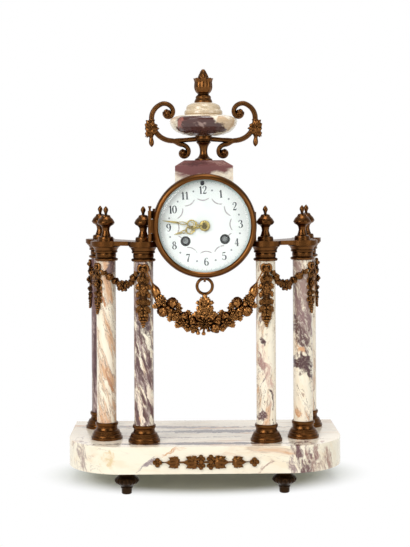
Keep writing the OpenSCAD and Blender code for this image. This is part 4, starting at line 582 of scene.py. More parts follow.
# The columns: six turned marble shafts, three a side, each on a turned bronze base and under a turned
# capital, with a tie bolt through the middle. Every shaft was cut from another part of the block, so no two
# are alike.
SHAFTS = {
    "column_front_left": marble(
        "marble_front_left", 26.0, 0.40, 0.66, 0.56, 1.0, shift=(0.9, 0.2, 0.1), turn=(0, 20, 0),
        stretch=(4.6, 4.6, 0.8), marks=(
            ((-66, -52, 184), (15, 40, 26), 14, 3.4, (0.10, 0.055, 0.058, 1), 0.45),
            ((-62, -52, 168), (4, 40, 22), 18, 2, CREAM, 0.6),
            ((-71, -52, 92), (5, 40, 34), 14, 2.2, (0.88, 0.74, 0.61, 1), 0.55),
            ((-60, -52, 108), (3.4, 40, 30), 16, 2.2, (0.88, 0.74, 0.61, 1), 0.5),
            ((-70, -52, 134), (6, 40, 30), 16, 2.4, (0.12, 0.06, 0.062, 1), 0.5))),
    "column_side_left": marble(
        "marble_side_left", 24.0, 0.68, -0.10, -0.5, 1.0, shift=(0.2, 0.5, 0.7), turn=(0, 17, 0),
        stretch=(3.8, 3.8, 0.55), marks=(
            ((-102, -34, 243), (9, 30, 18), -14, 2.4, (0.18, 0.11, 0.105, 1), 0.7),
            ((-112, -34, 214), (5, 30, 40), 17, 2.0, (0.50, 0.23, 0.11, 1), 0.4),
            ((-104, -34, 120), (4, 30, 34), 15, 2.0, (0.50, 0.24, 0.12, 1), 0.4))),
    "column_rear_left": marble(
        "marble_rear_left", 24.0, 0.1, 0.9, 0.80, 0.9, shift=(0.5, 0.9, 0.2), turn=(0, 12, 0),
        stretch=(3.0, 3.0, 0.7)),
    "column_front_right": marble(
        "marble_front_right", 22.0, 0.42, 0.20, 0.06, 1.0, shift=(0.3, 0.8, 0.9), turn=(0, -14, 0),
        stretch=(3.2, 3.2, 0.9), marks=(
            ((66, -52, 130), (13, 40, 80), 10, 5.0, (0.64, 0.42, 0.34, 1), 0.25),
            ((61, -52, 142), (6, 40, 26), 12, 2.8, (0.40, 0.23, 0.20, 1), 0.45),
            ((62, -52, 162), (4, 40, 9), 40, 2.0, PLUM, 0.6),
            ((63, -52, 122), (1.8, 40, 13), -36, 2.0, PLUM, 0.5),
            ((71, -52, 106), (2.6, 40, 12), 25, 2.2, PLUM, 0.6),
            ((61, -52, 85), (8, 40, 12), -24, 2.8, (0.13, 0.058, 0.06, 1), 0.6))),
    "column_side_right": marble(
        "marble_side_right", 24.0, 0.24, -0.02, -0.5, 1.0, shift=(0.6, 0.1, 0.4), turn=(0, 18, 0),
        stretch=(3.4, 3.4, 0.7), marks=(
            ((107, -30, 226), (14, 50, 70), 14, 4.0, (0.34, 0.225, 0.195, 1), 0.62),
            ((108, -30, 188), (11, 50, 60), 18, 3.4, (0.25, 0.15, 0.145, 1), 0.55),
            ((106, -30, 168), (13, 50, 42), 18, 4.0, (0.13, 0.066, 0.062, 1), 0.52),
            ((105, -30, 152), (5, 40, 9), 24, 2.0, PEACH, 0.7),
            ((107, -30, 138), (13, 50, 14), 30, 2.6, PLUM, 0.95),
            ((114, -30, 126), (3, 40, 16), 22, 2.0, PLUM, 0.8),
            ((102, -30, 84), (12, 40, 6), -30, 2.2, PEACH, 0.5))),
    "column_rear_right": marble(
        "marble_rear_right", 22.0, 0.50, 0.25, 0.05, 0.9, shift=(0.1, 0.3, 0.6), turn=(0, 10, 0),
        stretch=(3.0, 3.0, 0.7)),
}
for name, material in SHAFTS.items():
    dress(material, name)
turned_bronze = bronze("turned_bronze", gold=0.22, dark=0.22)
dress(turned_bronze, "column_bases", "column_capitals")

# The trefoil plates over the capitals, cast flat and filed, the six turned finials that screw down on the tie
# bolts, and the steel bolts themselves, which stay hidden in the stone.
plain_bronze = bronze("plain_bronze", gold=0.12, dark=0.15)
dress(plain_bronze, "entablature_left", "entablature_right")
dress(turned_bronze, "column_finials")

brushed_metal, given, put_out = new_group(
    "brushed_metal", {"Place": "Vector", "Size": "Float", "Light": "Color", "Dull": "Color"}, FINISH)
tree = brushed_metal
spread = scaled(given["Place"], given["Size"])
strokes = cloud(vector("MULTIPLY", spread, (1.0, 14.0, 9.0)), (0, 0, 0), 2.0, 4.0)
stain = cloud(spread, (3, 7, 2), 0.8, 5.0)
tone = mixed(band(stain, 0.40, 0.72), given["Light"], given["Dull"])
tree.links.new(tone, put_out["Colour"])
tree.links.new(calc("MULTIPLY_ADD", strokes, 0.22, 0.16), put_out["Roughness"])
tree.links.new(strokes, put_out["Height"])


def brushed(name, light, dull, size=60.0):
    """Filed and papered metal: fine strokes in its roughness and surface, stains in its colour."""
    material, tree, shader = new_finish(name)
    place = wire(tree, "TexCoord", out="Object")
    metal = wire(tree, "Group", {"Place": place, "Size": size, "Light": light, "Dull": dull}, out=None,
                 node_tree=brushed_metal)
    shader.inputs["Metallic"].default_value = 1.0
    surfaced(shader, metal.outputs["Colour"], metal.outputs["Roughness"], metal.outputs["Height"], 0.08,
             0.0002)
    return material


steel = brushed("steel", (0.56, 0.55, 0.54, 1), (0.30, 0.28, 0.26, 1))
dress(steel, "tie_bolts")

# The drum that holds the movement: a spun brass case, patinated like the bronze, between two cast brackets
# that stand on the plates. The left bracket carries the bezel's hinge, and a hinged door closes the back.
drum_bronze = bronze("drum_bronze", size=30.0, hollow=0.006, gold=0.35, dent=0.05)
dress(drum_bronze, "drum_case", "bracket_left", "bracket_right", "rear_door")
dress(plain_bronze, "hinge_pins")

# The bezel: a turned ring of gilt bronze, worn to an orange brown, that swings on the left hinge and holds
# the glass, whose rim is ground to a bevel.
dress(bronze("bezel_bronze", size=22.0, hollow=0.003, gold=0.08, dent=0.04), "bezel")

DRUM_AXIS_Z = 289.3
BEVEL_FROM, BEVEL_TO = 0.0445, 0.0465
glass, tree, shader = new_finish("bevelled_glass")
shader.inputs["Base Color"].default_value = (0.97, 0.99, 0.985, 1)
shader.inputs["Transmission Weight"].default_value = 1.0
shader.inputs["IOR"].default_value = 1.5
place = wire(tree, "TexCoord", out="Object")
smear = wire(tree, "TexNoise", {"Vector": place, "Scale": 60.0, "Detail": 3.0})
from_axis = vector("SUBTRACT", place, (0, 0, 0.001 * DRUM_AXIS_Z))
from_axis = vector("LENGTH", vector("MULTIPLY", from_axis, (1, 0, 1)), out="Value")
ground = calc("MULTIPLY", band(from_axis, BEVEL_FROM, BEVEL_TO), 0.16)
smear = calc("MULTIPLY_ADD", band(smear, 0.5, 0.8), 0.012, ground)
tree.links.new(smear, shader.inputs["Roughness"])
lit = wire(tree, "BsdfTransparent", {"Color": (0.97, 0.98, 0.975, 1)})
shadow = wire(tree, "LightPath", out="Is Shadow Ray")
pane = wire(tree, "MixShader", {0: shadow, 1: shader.outputs[0], 2: lit})
tree.links.new(pane, tree.nodes["Material Output"].inputs["Surface"])
dress(glass, "bezel_glass")

# The dial: a copper disc enamelled white, slightly domed in its shine, with a ring of minute dots, larger
# dots at the half hours and faint painted festoons fired into it. Holes let the winding and regulating keys
# through.
DIAL_Y, DIAL_Z = -55.0, DRUM_AXIS_Z
DIAL_TURN = 2.7
MINUTE_RING, HALF_HOUR_RING, FESTOON_RING = 46.2, 38.8, 27.4

enamel, tree, shader = new_finish("white_enamel")
place = vector("SUBTRACT", wire(tree, "TexCoord", out="Object"), (0, 0, 0.001 * DIAL_Z))
place = wire(tree, "VectorRotate", {"Vector": place, "Angle": math.radians(DIAL_TURN)},
             rotation_type="Y_AXIS")
place = scaled(place, 1000.0)
flat = wire(tree, "SeparateXYZ", {0: place}, out=None)
round_it = calc("ARCTAN2", flat.outputs["X"], flat.outputs["Z"])


def far_off(beside, along):
    """Length of a way from its two parts, the root of the sum of their squares."""
    return calc("SQRT", calc("ADD", calc("POWER", beside, 2.0), calc("POWER", along, 2.0)))


def from_mark(round_it, count):
    """Share of a division, -0.5 to 0.5, between a place and the nearest of count marks round the dial."""
    share = calc("MULTIPLY_ADD", round_it, count / (2 * math.pi), 0.5)
    return calc("SUBTRACT", calc("FRACT", share), 0.5)


def from_dot(round_it, away, count, ring):
    """Way in millimetres from a place to the nearest of count dots on a ring."""
    beside = calc("MULTIPLY", from_mark(round_it, count), 2 * math.pi * ring / count)
    return far_off(beside, calc("SUBTRACT", away, ring))


def near_line(away, line, half):
    """1 on a painted line of that half width in millimetres, 0 beside it."""
    return band(calc("ABSOLUTE", calc("SUBTRACT", away, line)), half * 1.6, half * 0.6)


away = far_off(flat.outputs["X"], flat.outputs["Z"])
dot = band(from_dot(round_it, away, 60, MINUTE_RING), 0.42, 0.25)
late = calc("ADD", round_it, math.pi / 12)
large = from_dot(late, away, 12, HALF_HOUR_RING)
dot = calc("MAXIMUM", dot, band(large, 1.2, 0.8))
swag = from_mark(round_it, 12)
sagged = calc("MULTIPLY_ADD", calc("POWER", swag, 2.0), 16.0, FESTOON_RING)
festoon = near_line(away, sagged, 0.62)
festoon = calc("MULTIPLY", festoon, band(calc("ABSOLUTE", swag), 0.42, 0.36))
worn = cloud(place, (0, 0, 0), 0.22, 4.0)
festoon = calc("MULTIPLY", festoon, band(worn, 0.30, 0.50))
mottle = cloud(place, (4, 1, 2), 0.06, 4.0)
# A grey-green ring at the dial's edge: painted shadow of the bezel and its glass bevel.
rim = calc("MULTIPLY", band(away, 45.6, 48.2), 0.75)
tone = mixed(band(mottle, 0.4, 0.75), (0.86, 0.87, 0.855, 1), (0.80, 0.815, 0.81, 1))
tone = mixed(rim, tone, (0.42, 0.53, 0.52, 1))
tone = mixed(calc("MULTIPLY", festoon, 0.75), tone, (0.22, 0.15, 0.18, 1))
tone = mixed(calc("MULTIPLY", dot, 0.85), tone, (0.10, 0.11, 0.13, 1))
surfaced(shader, tone, calc("MULTIPLY_ADD", mottle, 0.1, 0.10), mottle, 0.1, 0.0006)
dress(enamel, "dial")

# The numerals: twelve upright arabic figures of thick and thin strokes, painted in slate black and fired on,
# each stroke laid as a thin ribbon of paint on the enamel.
FIGURES = {
    "0": [[(.28, .98, .03), (.12, .86, .09), (.06, .5, .13), (.12, .14, .09), (.28, .02, .03),
           (.44, .14, .09), (.5, .5, .13), (.44, .86, .09), (.28, .98, .03)]],
    "1": [[(.26, 0, .14), (.26, .5, .13), (.26, .97, .12)],
          [(.05, .8, .03), (.16, .86, .04), (.25, .97, .07)],
          [(.1, .015, .03), (.26, .015, .03), (.42, .015, .03)]],
    "2": [[(.09, .7, .11), (.07, .8, .06), (.14, .94, .04), (.28, .98, .05), (.43, .9, .1), (.46, .72, .12),
           (.36, .5, .08), (.18, .24, .04), (.05, .04, .03)],
          [(.05, .05, .1), (.2, .07, .12), (.36, .04, .09), (.5, .2, .03)]],
    "3": [[(.08, .78, .1), (.12, .93, .04), (.26, .98, .04), (.42, .88, .1), (.42, .68, .1), (.3, .55, .04),
           (.2, .53, .03)],
          [(.2, .53, .03), (.34, .51, .04), (.48, .36, .12), (.46, .14, .11), (.28, .02, .04),
           (.12, .06, .04), (.06, .2, .1)]],
    "4": [[(.38, 0, .12), (.38, .5, .12), (.38, .98, .1)],
          [(.38, .97, .03), (.2, .62, .03), (.03, .3, .03)],
          [(.03, .28, .05), (.3, .28, .05), (.54, .28, .05)],
          [(.24, .015, .03), (.38, .015, .03), (.52, .015, .03)]],
    "5": [[(.12, .95, .04), (.28, .93, .1), (.46, .98, .05)],
          [(.13, .96, .03), (.11, .75, .03), (.1, .52, .03)],
          [(.1, .53, .03), (.26, .62, .04), (.44, .52, .1), (.5, .32, .13), (.42, .1, .1), (.25, .02, .04),
           (.11, .07, .04), (.06, .2, .1)]],
    "6": [[(.44, .86, .09), (.38, .96, .04), (.26, .96, .04), (.12, .76, .1), (.07, .42, .13),
           (.12, .12, .1), (.28, .02, .03)],
          [(.28, .02, .03), (.44, .12, .1), (.49, .3, .12), (.42, .5, .08), (.28, .57, .03), (.15, .5, .03),
           (.09, .38, .03)]],
    "7": [[(.06, .82, .03), (.1, .95, .08), (.26, .92, .12), (.4, .94, .08), (.5, .99, .03)],
          [(.5, .98, .03), (.36, .6, .06), (.25, .3, .11), (.22, 0, .13)]],
    "8": [[(.28, .98, .03), (.15, .92, .07), (.11, .78, .1), (.17, .62, .08), (.28, .55, .06),
           (.39, .63, .05), (.43, .78, .08), (.39, .92, .06), (.28, .98, .03)],
          [(.28, .55, .06), (.13, .46, .06), (.06, .28, .1), (.12, .09, .08), (.28, .02, .03), (.44, .1, .09),
           (.5, .28, .12), (.42, .46, .1), (.28, .55, .06)]],
}
FIGURES["9"] = [[(0.56 - x, 1 - y, w) for x, y, w in stroke] for stroke in FIGURES["6"]]
FIGURE_RING, FIGURE_TALL = 38.6, 8.4
PAINT_FRONT, PAINT_BACK = DIAL_Y - 0.07, DIAL_Y - 0.02


def smooth_run(points, steps):
    """Curve through points, each stretch a cubic that leaves along the line between its neighbours."""
    points = np.asarray(points, float)
    padded = np.concatenate([2 * points[:1] - points[1:2], points, 2 * points[-1:] - points[-2:-1]])
    t = np.linspace(0, len(points) - 1, steps)
    k = np.minimum(t.astype(int), len(points) - 2)
    s = (t - k)[:, None]
    a, b, c, d = padded[k], padded[k + 1], padded[k + 2], padded[k + 3]
    return 0.5 * (2 * b + (c - a) * s + (2 * a - 5 * b + 4 * c - d) * s ** 2
                  + (3 * b - a - 3 * c + d) * s ** 3)


def half_widths(run):
    """Way from a flat curve to its left edge, half of its width and square to its course."""
    way = unit(np.gradient(run[:, :2], axis=0))
    return np.stack([-way[:, 1], way[:, 0]], axis=-1) * 0.5 * run[:, 2:3]


def painted_stroke(points, at, tall, lean):
    """Ribbon of paint: half its width to each side of the stroke's curve, with a rim 0.05 thick."""
    run = smooth_run(points, 24) * (1, 1, 1.3) + (0, 0, 0.015)
    side = half_widths(run)
    left, right = run[:, :2] + side, run[:, :2] - side
    flat = np.stack([left, right, right, left], axis=1) * tall
    x = flat[..., 0] * math.cos(lean) - flat[..., 1] * math.sin(lean) + at[0]
    z = flat[..., 0] * math.sin(lean) + flat[..., 1] * math.cos(lean) + at[1]
    y = np.broadcast_to([PAINT_FRONT, PAINT_FRONT, PAINT_BACK, PAINT_BACK], x.shape)
    return np.stack([x, y, z], axis=-1)


strokes = []
lean = math.radians(DIAL_TURN)
half_tall = 0.5 * FIGURE_TALL
for hour in range(1, 13):
    angle = math.radians(30 * hour - DIAL_TURN)
    figures = str(hour)
    for k, figure in enumerate(figures):
        aside = (k - 0.5 * len(figures)) * half_tall - (0.02 if figure != "1" else 0) * FIGURE_TALL
        corner = (FIGURE_RING * math.sin(angle) + aside * math.cos(lean) + half_tall * math.sin(lean),
                  DIAL_Z + FIGURE_RING * math.cos(angle) + aside * math.sin(lean)
                  - half_tall * math.cos(lean))
        strokes += [painted_stroke(stroke, corner, FIGURE_TALL, lean) for stroke in FIGURES[figure]]

paint, tree, shader = new_finish("fired_paint")
place = wire(tree, "TexCoord", out="Object")
thin_paint = wire(tree, "TexNoise", {"Vector": place, "Scale": 500.0, "Detail": 3.0})
tone = mixed(band(thin_paint, 0.5, 0.8), (0.016, 0.018, 0.028, 1), (0.07, 0.075, 0.095, 1))
tree.links.new(tone, shader.inputs["Base Color"])
tree.links.new(calc("MULTIPLY_ADD", thin_paint, 0.2, 0.15), shader.inputs["Roughness"])
shader.inputs["Specular IOR Level"].default_value = 0.15
fitted("numerals", strokes, paint, "case", "enamel")

# The hands: pierced from sheet brass and filed, the hour hand on its pipe under the minute hand. Each has a
# ring about the pipe, an open loop and a leaf-shaped point, and a collet with its pin holds both.
hand_brass = brushed("hand_brass", (0.56, 0.44, 0.15, 1), (0.26, 0.19, 0.06, 1), size=110.0)
HAND_THICK = 0.8


def filed_bar(points, clock_angle, hand_y):
    """Bar of sheet brass along a curve of points (way out from the pipe, way across, width): half the width
    to each side, one thickness deep, its front edges bevelled. The hand is turned clockwise from the
    vertical."""
    run = smooth_run(points, 40)
    flat = run[:, None, :2] + half_widths(run)[:, None] * np.array([-1, 1, 1, 0.5, -0.5, -1])[None, :, None]
    x = flat[..., 0] * math.sin(clock_angle) + flat[..., 1] * math.cos(clock_angle)
    z = flat[..., 0] * math.cos(clock_angle) - flat[..., 1] * math.sin(clock_angle) + DIAL_Z
    y = np.broadcast_to(hand_y + HAND_THICK * np.array([1, 1, 0.45, 0, 0, 0.45]), x.shape)
    return np.stack([x, y, z], axis=-1)


def round_bar(middle, radius, width, turns=(0, 360)):
    """Points of a bar that runs round a middle on the hand's line."""
    angle = np.radians(np.linspace(*turns, 13))
    return [(middle + radius * math.cos(a), radius * math.sin(a), width) for a in angle]


for node, body, clock_angle, hand_y, ring, loop_at, loop, point in (
    ("hour_hand", "hour", 254.3, -56.9, 4.3, 16.4, 4.0, 33.9),
    ("minute_hand", "minute", 277.3, -58.3, 3.9, 14.0, 4.4, 45.2),
):
    loop_start, loop_end = loop_at - loop, loop_at + loop
    leaf_at = loop_end + 0.42 * (point - loop_end)
    bars = [round_bar(0, ring, 3.2), round_bar(loop_at, loop, 1.5),
            round_bar(loop_at, 0.48 * loop, 0.9, (70, 290)),
            [(ring, 0, 2.6), (0.6 * loop_start + 1, 0, 1.7), (loop_start, 0, 2.2)],
            [(leaf_at - 1, 0, 2.0), (leaf_at + 2, 0, 2.3), (0.75 * point + 0.25 * leaf_at, 0, 1.1),
             (point, 0, 0.5)]]
    for hand in (-1, 1):
        bars.append([(loop_end, 0, 1.2), (0.5 * (loop_end + leaf_at), 1.5 * hand, 0.9),
                     (leaf_at + 0.5, 0, 1.1)])
        bars.append([(loop_start, 0.6 * hand, 1.0), (loop_start - 0.8, 2.4 * hand, 1.1),
                     (loop_start + 1.4, 3.3 * hand, 0.9)])
    fitted("pierced_" + node, [filed_bar(bar, math.radians(clock_angle), hand_y) for bar in bars], hand_brass,
           body, "brass", node)
dress(brushed("collet_brass", (0.20, 0.15, 0.05, 1), (0.08, 0.058, 0.02, 1), size=160.0), "hand_collet")

# The movement: round brass plates and wheels, steel arbors, and a bell on the back. It sits in the drum
# behind the dial, and only the winding squares and the regulator's show from the front.
# The front plate and the wheels seen through the dial's holes are coloured almost black: painted shade for
# the dark inside of the drum.
dress(brushed("shaded_brass", (0.006, 0.005, 0.004, 1), (0.003, 0.0027, 0.002, 1)),
      "front_plate", "hour_wheel", "minute_wheel")
dress(brushed("movement_brass", (0.72, 0.52, 0.22, 1), (0.46, 0.30, 0.11, 1)),
      "back_plate", "plate_pillars", "going_barrel", "strike_barrel", "second_wheel", "centre_wheel",
      "third_wheel", "escape_wheel", "pallet_cock", "strike_pin_wheel", "fly", "bell_stand", "pendulum")
# The winding arbors' steel is darkened, much of it almost black: painted shade for the dark holes they sit
# in.
dress(brushed("shaded_steel", (0.40, 0.42, 0.41, 1), (0.06, 0.065, 0.06, 1)),
      "going_winding_arbor", "strike_winding_arbor")
dress(brushed("blued_steel", (0.022, 0.025, 0.034, 1), (0.010, 0.011, 0.015, 1)), "regulator_arbor")
dress(steel, "plate_screws", "pallets", "cannon_pinion", "hammer")
dress(brushed("bell_metal", (0.62, 0.56, 0.44, 1), (0.38, 0.31, 0.20, 1)), "bell")

# The block under the urn: marble again, cut to the drum's curve below and hipped above. A plum bed crosses
# its upper edge, and the stone under it is cream.
BLOCK_MARKS = (
    ((4, -30, 361), (56, 80, 15), 0, 0.7, (0.190, 0.074, 0.072, 1), 1.5),
    ((-12, -40, 357), (30, 60, 6), 6, 3.4, (0.11, 0.044, 0.045, 1), 0.35),
    ((12, -40, 358), (30, 60, 6), -6, 3.6, (0.34, 0.19, 0.17, 1), 0.30),
)
dress(marble("marble_block", 22.0, 0.30, -0.15, -0.5, 0.15, shift=(0.7, 0.2, 0.3), stretch=(0.8, 0.8, 1.2),
             marks=BLOCK_MARKS), "pedestal_block")

# The urn's body: a turned marble bowl and lid, bolted together on a bronze foot. A large plum patch lies
# across the front of the bowl.
BOWL_MARKS = (
    ((26, -40, 401), (14, 40, 10), 0, 1.5, (0.64, 0.45, 0.28, 1), 1.0),
    ((-7, -48, 400), (21, 34, 14), 0, 1.2, (0.074, 0.026, 0.022, 1), 1.4),
    ((7, -48, 394), (17, 30, 7), 0, 2.0, (0.080, 0.033, 0.027, 1), 1.3),
    ((-25, -44, 401), (4, 30, 9), -12, 2.0, (0.34, 0.11, 0.085, 1), 0.8),
    ((-4, -48, 400), (18, 30, 7), -14, 3.4, (0.34, 0.22, 0.19, 1), 0.25),
)
# A beige cover over the whole lid: partly the stone's warm tone, partly painted shade that darkens the dome.
LID_SHADE_MARKS = (((0, -20, 414), (44, 44, 16), 0, 2.0, (0.58, 0.46, 0.31, 1), 0.9),)
dress(marble("marble_bowl", 18.0, 0.42, -0.05, -0.5, 0.3, shift=(0.2, 0.6, 0.1), stretch=(0.7, 0.7, 1.3),
             marks=BOWL_MARKS), "urn_bowl")
dress(marble("marble_lid", 20.0, 0.40, -0.05, -0.4, 0.35, shift=(0.5, 0.4, 0.8), stretch=(0.6, 0.6, 1.4),
             marks=LID_SHADE_MARKS), "urn_lid")

# The urn's foot: turned bronze, a round base that draws in to a slim neck and opens like a trumpet under the
# bowl, where two beads and a collar meet the arms of the handles.
URN_Y = -13.5
STEM_LINE = np.array([
    (9.7, 360.3), (9.7, 361.6), (9.2, 362.4), (7.2, 363.4), (5.6, 365.2), (4.6, 367.4), (4.2, 370.0),
    (4.3, 372.6), (4.9, 375.4), (6.0, 378.0), (7.6, 379.8), (8.2, 380.6), (7.4, 381.2), (8.6, 381.9),
    (9.0, 382.6), (8.4, 383.2), (9.3, 383.7), (9.3, 387.0), (8.8, 387.8)])


def turned_skin(line, x, y, points=72):
    """Turned form about an upright axis: its radius by height, smoothed between the given points."""
    fine = smooth_run(line, 6 * len(line))
    round_it = round_steps(points)
    return np.stack([x + fine[:, :1] * np.cos(round_it), y + fine[:, :1] * np.sin(round_it),
                     fine[:, 1:] + 0 * round_it], axis=-1)


fitted("urn_stem", [turned_skin(STEM_LINE, 0, URN_Y)], turned_bronze, "case", "bronze", "urn_foot")

# The urn's finial: a cast and chased cup of eight leaves on a turned neck, with their tips bent outwards, and
# a bud that stands in it. It screws down on the bolt that holds the urn together.
FINIAL_FOOT, FINIAL_TALL = 424.3, 38.0
FINIAL_LINE = np.array([
    (9.8, 0), (10, .04), (9.4, .08), (8.4, .13), (8.6, .17), (8.0, .2), (6.8, .225), (6.0, .25), (6.4, .27),
    (8.2, .31), (9.3, .37), (9.9, .45), (9.8, .53), (9.5, .6), (9.9, .65), (10.9, .695), (8.4, .7),
    (6.2, .71), (5.8, .76), (4.8, .83), (3.4, .91), (1.4, .98)])


def finial_skin():
    """Turned profile about the urn's axis: radius by height, times a swelling for each of eight leaves on the
    cup, with its rim raised at the leaf tips, and six slanting ribs on the bud."""
    radius, high, round_it = profile_grid(FINIAL_LINE, 90, 96)
    cup = np.clip((high - 0.30) / 0.12, 0, 1) * np.clip((0.715 - high) / 0.02, 0, 1)
    leaves = np.abs(np.cos(4 * round_it)) ** 0.6
    bud = np.clip((high - 0.72) / 0.05, 0, 1)
    ribs = np.abs(np.cos(3 * round_it + 9 * high))
    radius = radius * (1 + cup * (0.10 * leaves - 0.07)) * (1 + bud * (0.16 * ribs - 0.12))
    tips = np.exp(-(((high - 0.70) / 0.03) ** 2)) * (leaves - 0.6) * 2.2
    return np.stack([radius * np.cos(round_it), URN_Y + radius * np.sin(round_it),
                     FINIAL_FOOT + FINIAL_TALL * high + tips], axis=-1)


fitted("urn_bud_finial", [finial_skin()], chased_bronze, "case", "bronze", "urn_finial")

# The handles: cast bronze straps that roll up into volutes above and below, each volute closed by a rosebud.
# Acanthus leaves and a hanging bud stand on the outside, and an arm runs from the strap to the urn's foot.
volute_top, volute_low = np.array([40.3, 412.6]), np.array([22.8, 368.9])


def curl_run(middle, start, big, small, power, t):
    """Spiral: the radius falls from big to small as the angle turns 330 degrees from its start."""
    angle = np.radians(start + 330 * t)
    radius = small + (big - small) * (1 - t) ** power
    return middle + np.stack([radius * np.cos(angle), radius * np.sin(angle)], axis=-1)


def cubic_run(a, b, c, d, t):
    """Cubic curve from a to d that leaves towards b and arrives from c."""
    t = t[:, None]
    return (1 - t) ** 3 * a + 3 * t * (1 - t) ** 2 * b + 3 * t ** 2 * (1 - t) * c + t ** 3 * d


def polar(radius, degrees):
    """Offset by a radius at an angle."""
    return radius * np.array([math.cos(math.radians(degrees)), math.sin(math.radians(degrees))])


TOP_REACH, TOP_START = 12.1, 67
LOW_REACH, LOW_START = 9.6, 78
CURL_END = 2.4
strap_top = volute_top + polar(TOP_REACH, TOP_START)
strap_side = np.array([57.4, 406.3])
strap_low = np.array([36.0, 382.6])
curl_low = volute_low + polar(LOW_REACH, LOW_START)
sweep = np.linspace(0, 1, 40, endpoint=False)
handle_run = np.concatenate([
    curl_run(volute_top, TOP_START, TOP_REACH, CURL_END, 2.2, 1 - sweep),
    cubic_run(strap_top, strap_top + [7, -2.2], strap_side + [0.4, 9], strap_side, sweep),
    cubic_run(strap_side, strap_side - [0.6, 12], strap_low + [13, 1.2], strap_low, sweep),
    cubic_run(strap_low, strap_low - [6, 0.2], curl_low + [5, 1.4], curl_low, sweep[::2]),
    curl_run(volute_low, LOW_START, LOW_REACH, CURL_END, 1.9, sweep)])


def strap(run, half_thick, half_deep):
    """Oval section carried along a run in the plane of the handle, with a groove down its front and back."""
    way = unit(np.gradient(run, axis=0))
    round_it = round_steps(24)
    across = np.cos(round_it) * (1 + 0.10 * np.cos(4 * round_it))
    deep = np.sin(round_it) * (1 - 0.22 * np.exp(-((np.cos(round_it) / 0.3) ** 2)))
    x = run[:, :1] - way[:, 1:] * half_thick[:, None] * across
    z = run[:, 1:] + way[:, :1] * half_thick[:, None] * across
    y = URN_Y + half_deep[:, None] * deep
    return np.stack([x, y, z], axis=-1)


def bulb(start, end, radii):
    """Turned form along a line: a run of radii, smoothed, from start to end."""
    start, end = np.asarray(start, float), np.asarray(end, float)
    radius = np.maximum(smooth_run(np.asarray(radii, float)[:, None], 24), 0.2)
    axis = end - start
    side = unit(np.cross(axis, (0.3, 1, 0.2)))
    other = np.cross(unit(axis), side)
    round_it = round_steps(18)
    ring = np.cos(round_it)[:, None] * side + np.sin(round_it)[:, None] * other
    return start + np.linspace(0, 1, 24)[:, None, None] * axis + radius[:, None] * ring


taper = 0.74 + 0.26 * np.sin(np.pi * np.linspace(0, 1, len(handle_run)))
handle = [strap(handle_run, 2.7 * taper, 4.0 * taper)]
for (x, z), size in ((volute_top, 5.2), (volute_low, 4.7)):
    for facing in (-1, 1):
        handle.append(placed(rosebud(5, 0.6), [(x, URN_Y + 0.9 * facing, z)], SIDEWAYS, (0, facing, 0),
                             (size, size, 4.4)))
    handle.append(placed(berry(8, 14), [(x, URN_Y - 5.0, z), (x, URN_Y + 5.0, z)], SIDEWAYS, FRONT,
                         (1.7, 1.7, 1.1)))
for facing, aside in (((0, -1, 0), -2.2), ((0, 1, 0), 2.2), ((1, 0, 0.4), 0.0)):
    leaf_y = URN_Y + aside
    handle.append(placed(leaf(3, 0.34, 0.2, 0.10), [(56.0, leaf_y, 406.0), (57.4, leaf_y, 401.0),
                                                    (54.6, leaf_y, 402.0)],
                         [(0.66, 0, -0.75), (0.34, 0, -0.94), (0.02, 0, -1)], facing,
                         np.array([(12.6, 13.0, 12.0), (16.0, 13.0, 12.0), (13.0, 14.0, 12.0)])))
handle.append(placed(berry(8, 14), [(57.0, URN_Y, 405.4)], SIDEWAYS, (0, 0, 1), (3.5, 4.9, 1.5)))
handle.append(bulb((58.4, URN_Y, 394.0), (57.4, URN_Y, 375.9), (2.4, 3.6, 3.4, 2.2, 2.5, 2.9, 2.5, 0.6)))
handle.append(bulb((36.6, URN_Y, 381.8), (7.4, URN_Y, 384.3), (2.0, 2.8, 2.9, 2.6, 2.6, 2.7, 2.8)))
for hand, name in ((-1, "left"), (1, "right")):
    fitted("scroll_handle_" + name, [shape * (hand, 1, 1) for shape in handle], chased_bronze, "case",
           "bronze", "urn_handle_" + name)

# The main garland: a cast festoon of roses, leaves and berries between the front columns, with a leaf pendant
# that hangs on a ring under the drum. Each half starts from a smooth bud beside its column.
GARLAND_END, GARLAND_TOP, GARLAND_SAG, GARLAND_Y = 56.6, 227.9, 43.0, -45.8
pick = np.random.default_rng(11)


def both_sides(shapes):
    """Shapes of the clock's left half, and their mirror images for its right one."""
    return shapes + [shape * (-1, 1, 1) for shape in shapes]


def garland_run(t):
    """Cubic sag from the left column (t 0) to the middle (t 1), bowing forwards."""
    end, sag = GARLAND_END, GARLAND_SAG
    flat = cubic_run(np.array([end, 0]), np.array([0.89 * end, -0.56 * sag]), np.array([0.6 * end, -sag]),
                     np.array([0, -sag]), t)
    return np.stack([-flat[:, 0], GARLAND_Y - 3 * np.sin(0.5 * np.pi * t), GARLAND_TOP + flat[:, 1]], axis=-1)


def rope(run, radii, points=12):
    """Round section carried along a run, with rings square to the way."""
    way = unit(np.gradient(run, axis=0))
    side = unit(np.cross(way, (0, 1, 0.02)))
    other = np.cross(way, side)
    round_it = round_steps(points)[None, :, None]
    ring = np.cos(round_it) * side[:, None] + np.sin(round_it) * other[:, None]
    return run[:, None] + np.asarray(radii)[:, None, None] * ring


def bunch(at, out, size, petals=5, layers=2, sharp=0.0):
    """Roses: each is a flower with smaller ones, turned half a petal, standing in it."""
    at, facing = np.atleast_2d(at), unit(np.atleast_2d(out))
    size = np.broadcast_to(np.asarray(size, float), len(at))
    spin = pick.uniform(0, 2 * np.pi, len(at))
    made = []
    for layer in range(layers):
        share = (1.0, 0.62, 0.36)[layer]
        rise = facing * (0.22 * layer * size)[:, None]
        angle = spin + layer * np.pi / petals
        along = np.stack([np.cos(angle), 0.13 + 0 * angle, np.sin(angle)], axis=-1)
        made.append(placed(rosette(petals, 0.3, sharp), at + rise, along, facing,
                           np.stack([size * share] * 2 + [size * 0.8 * share ** 0.5], axis=-1)))
    return made


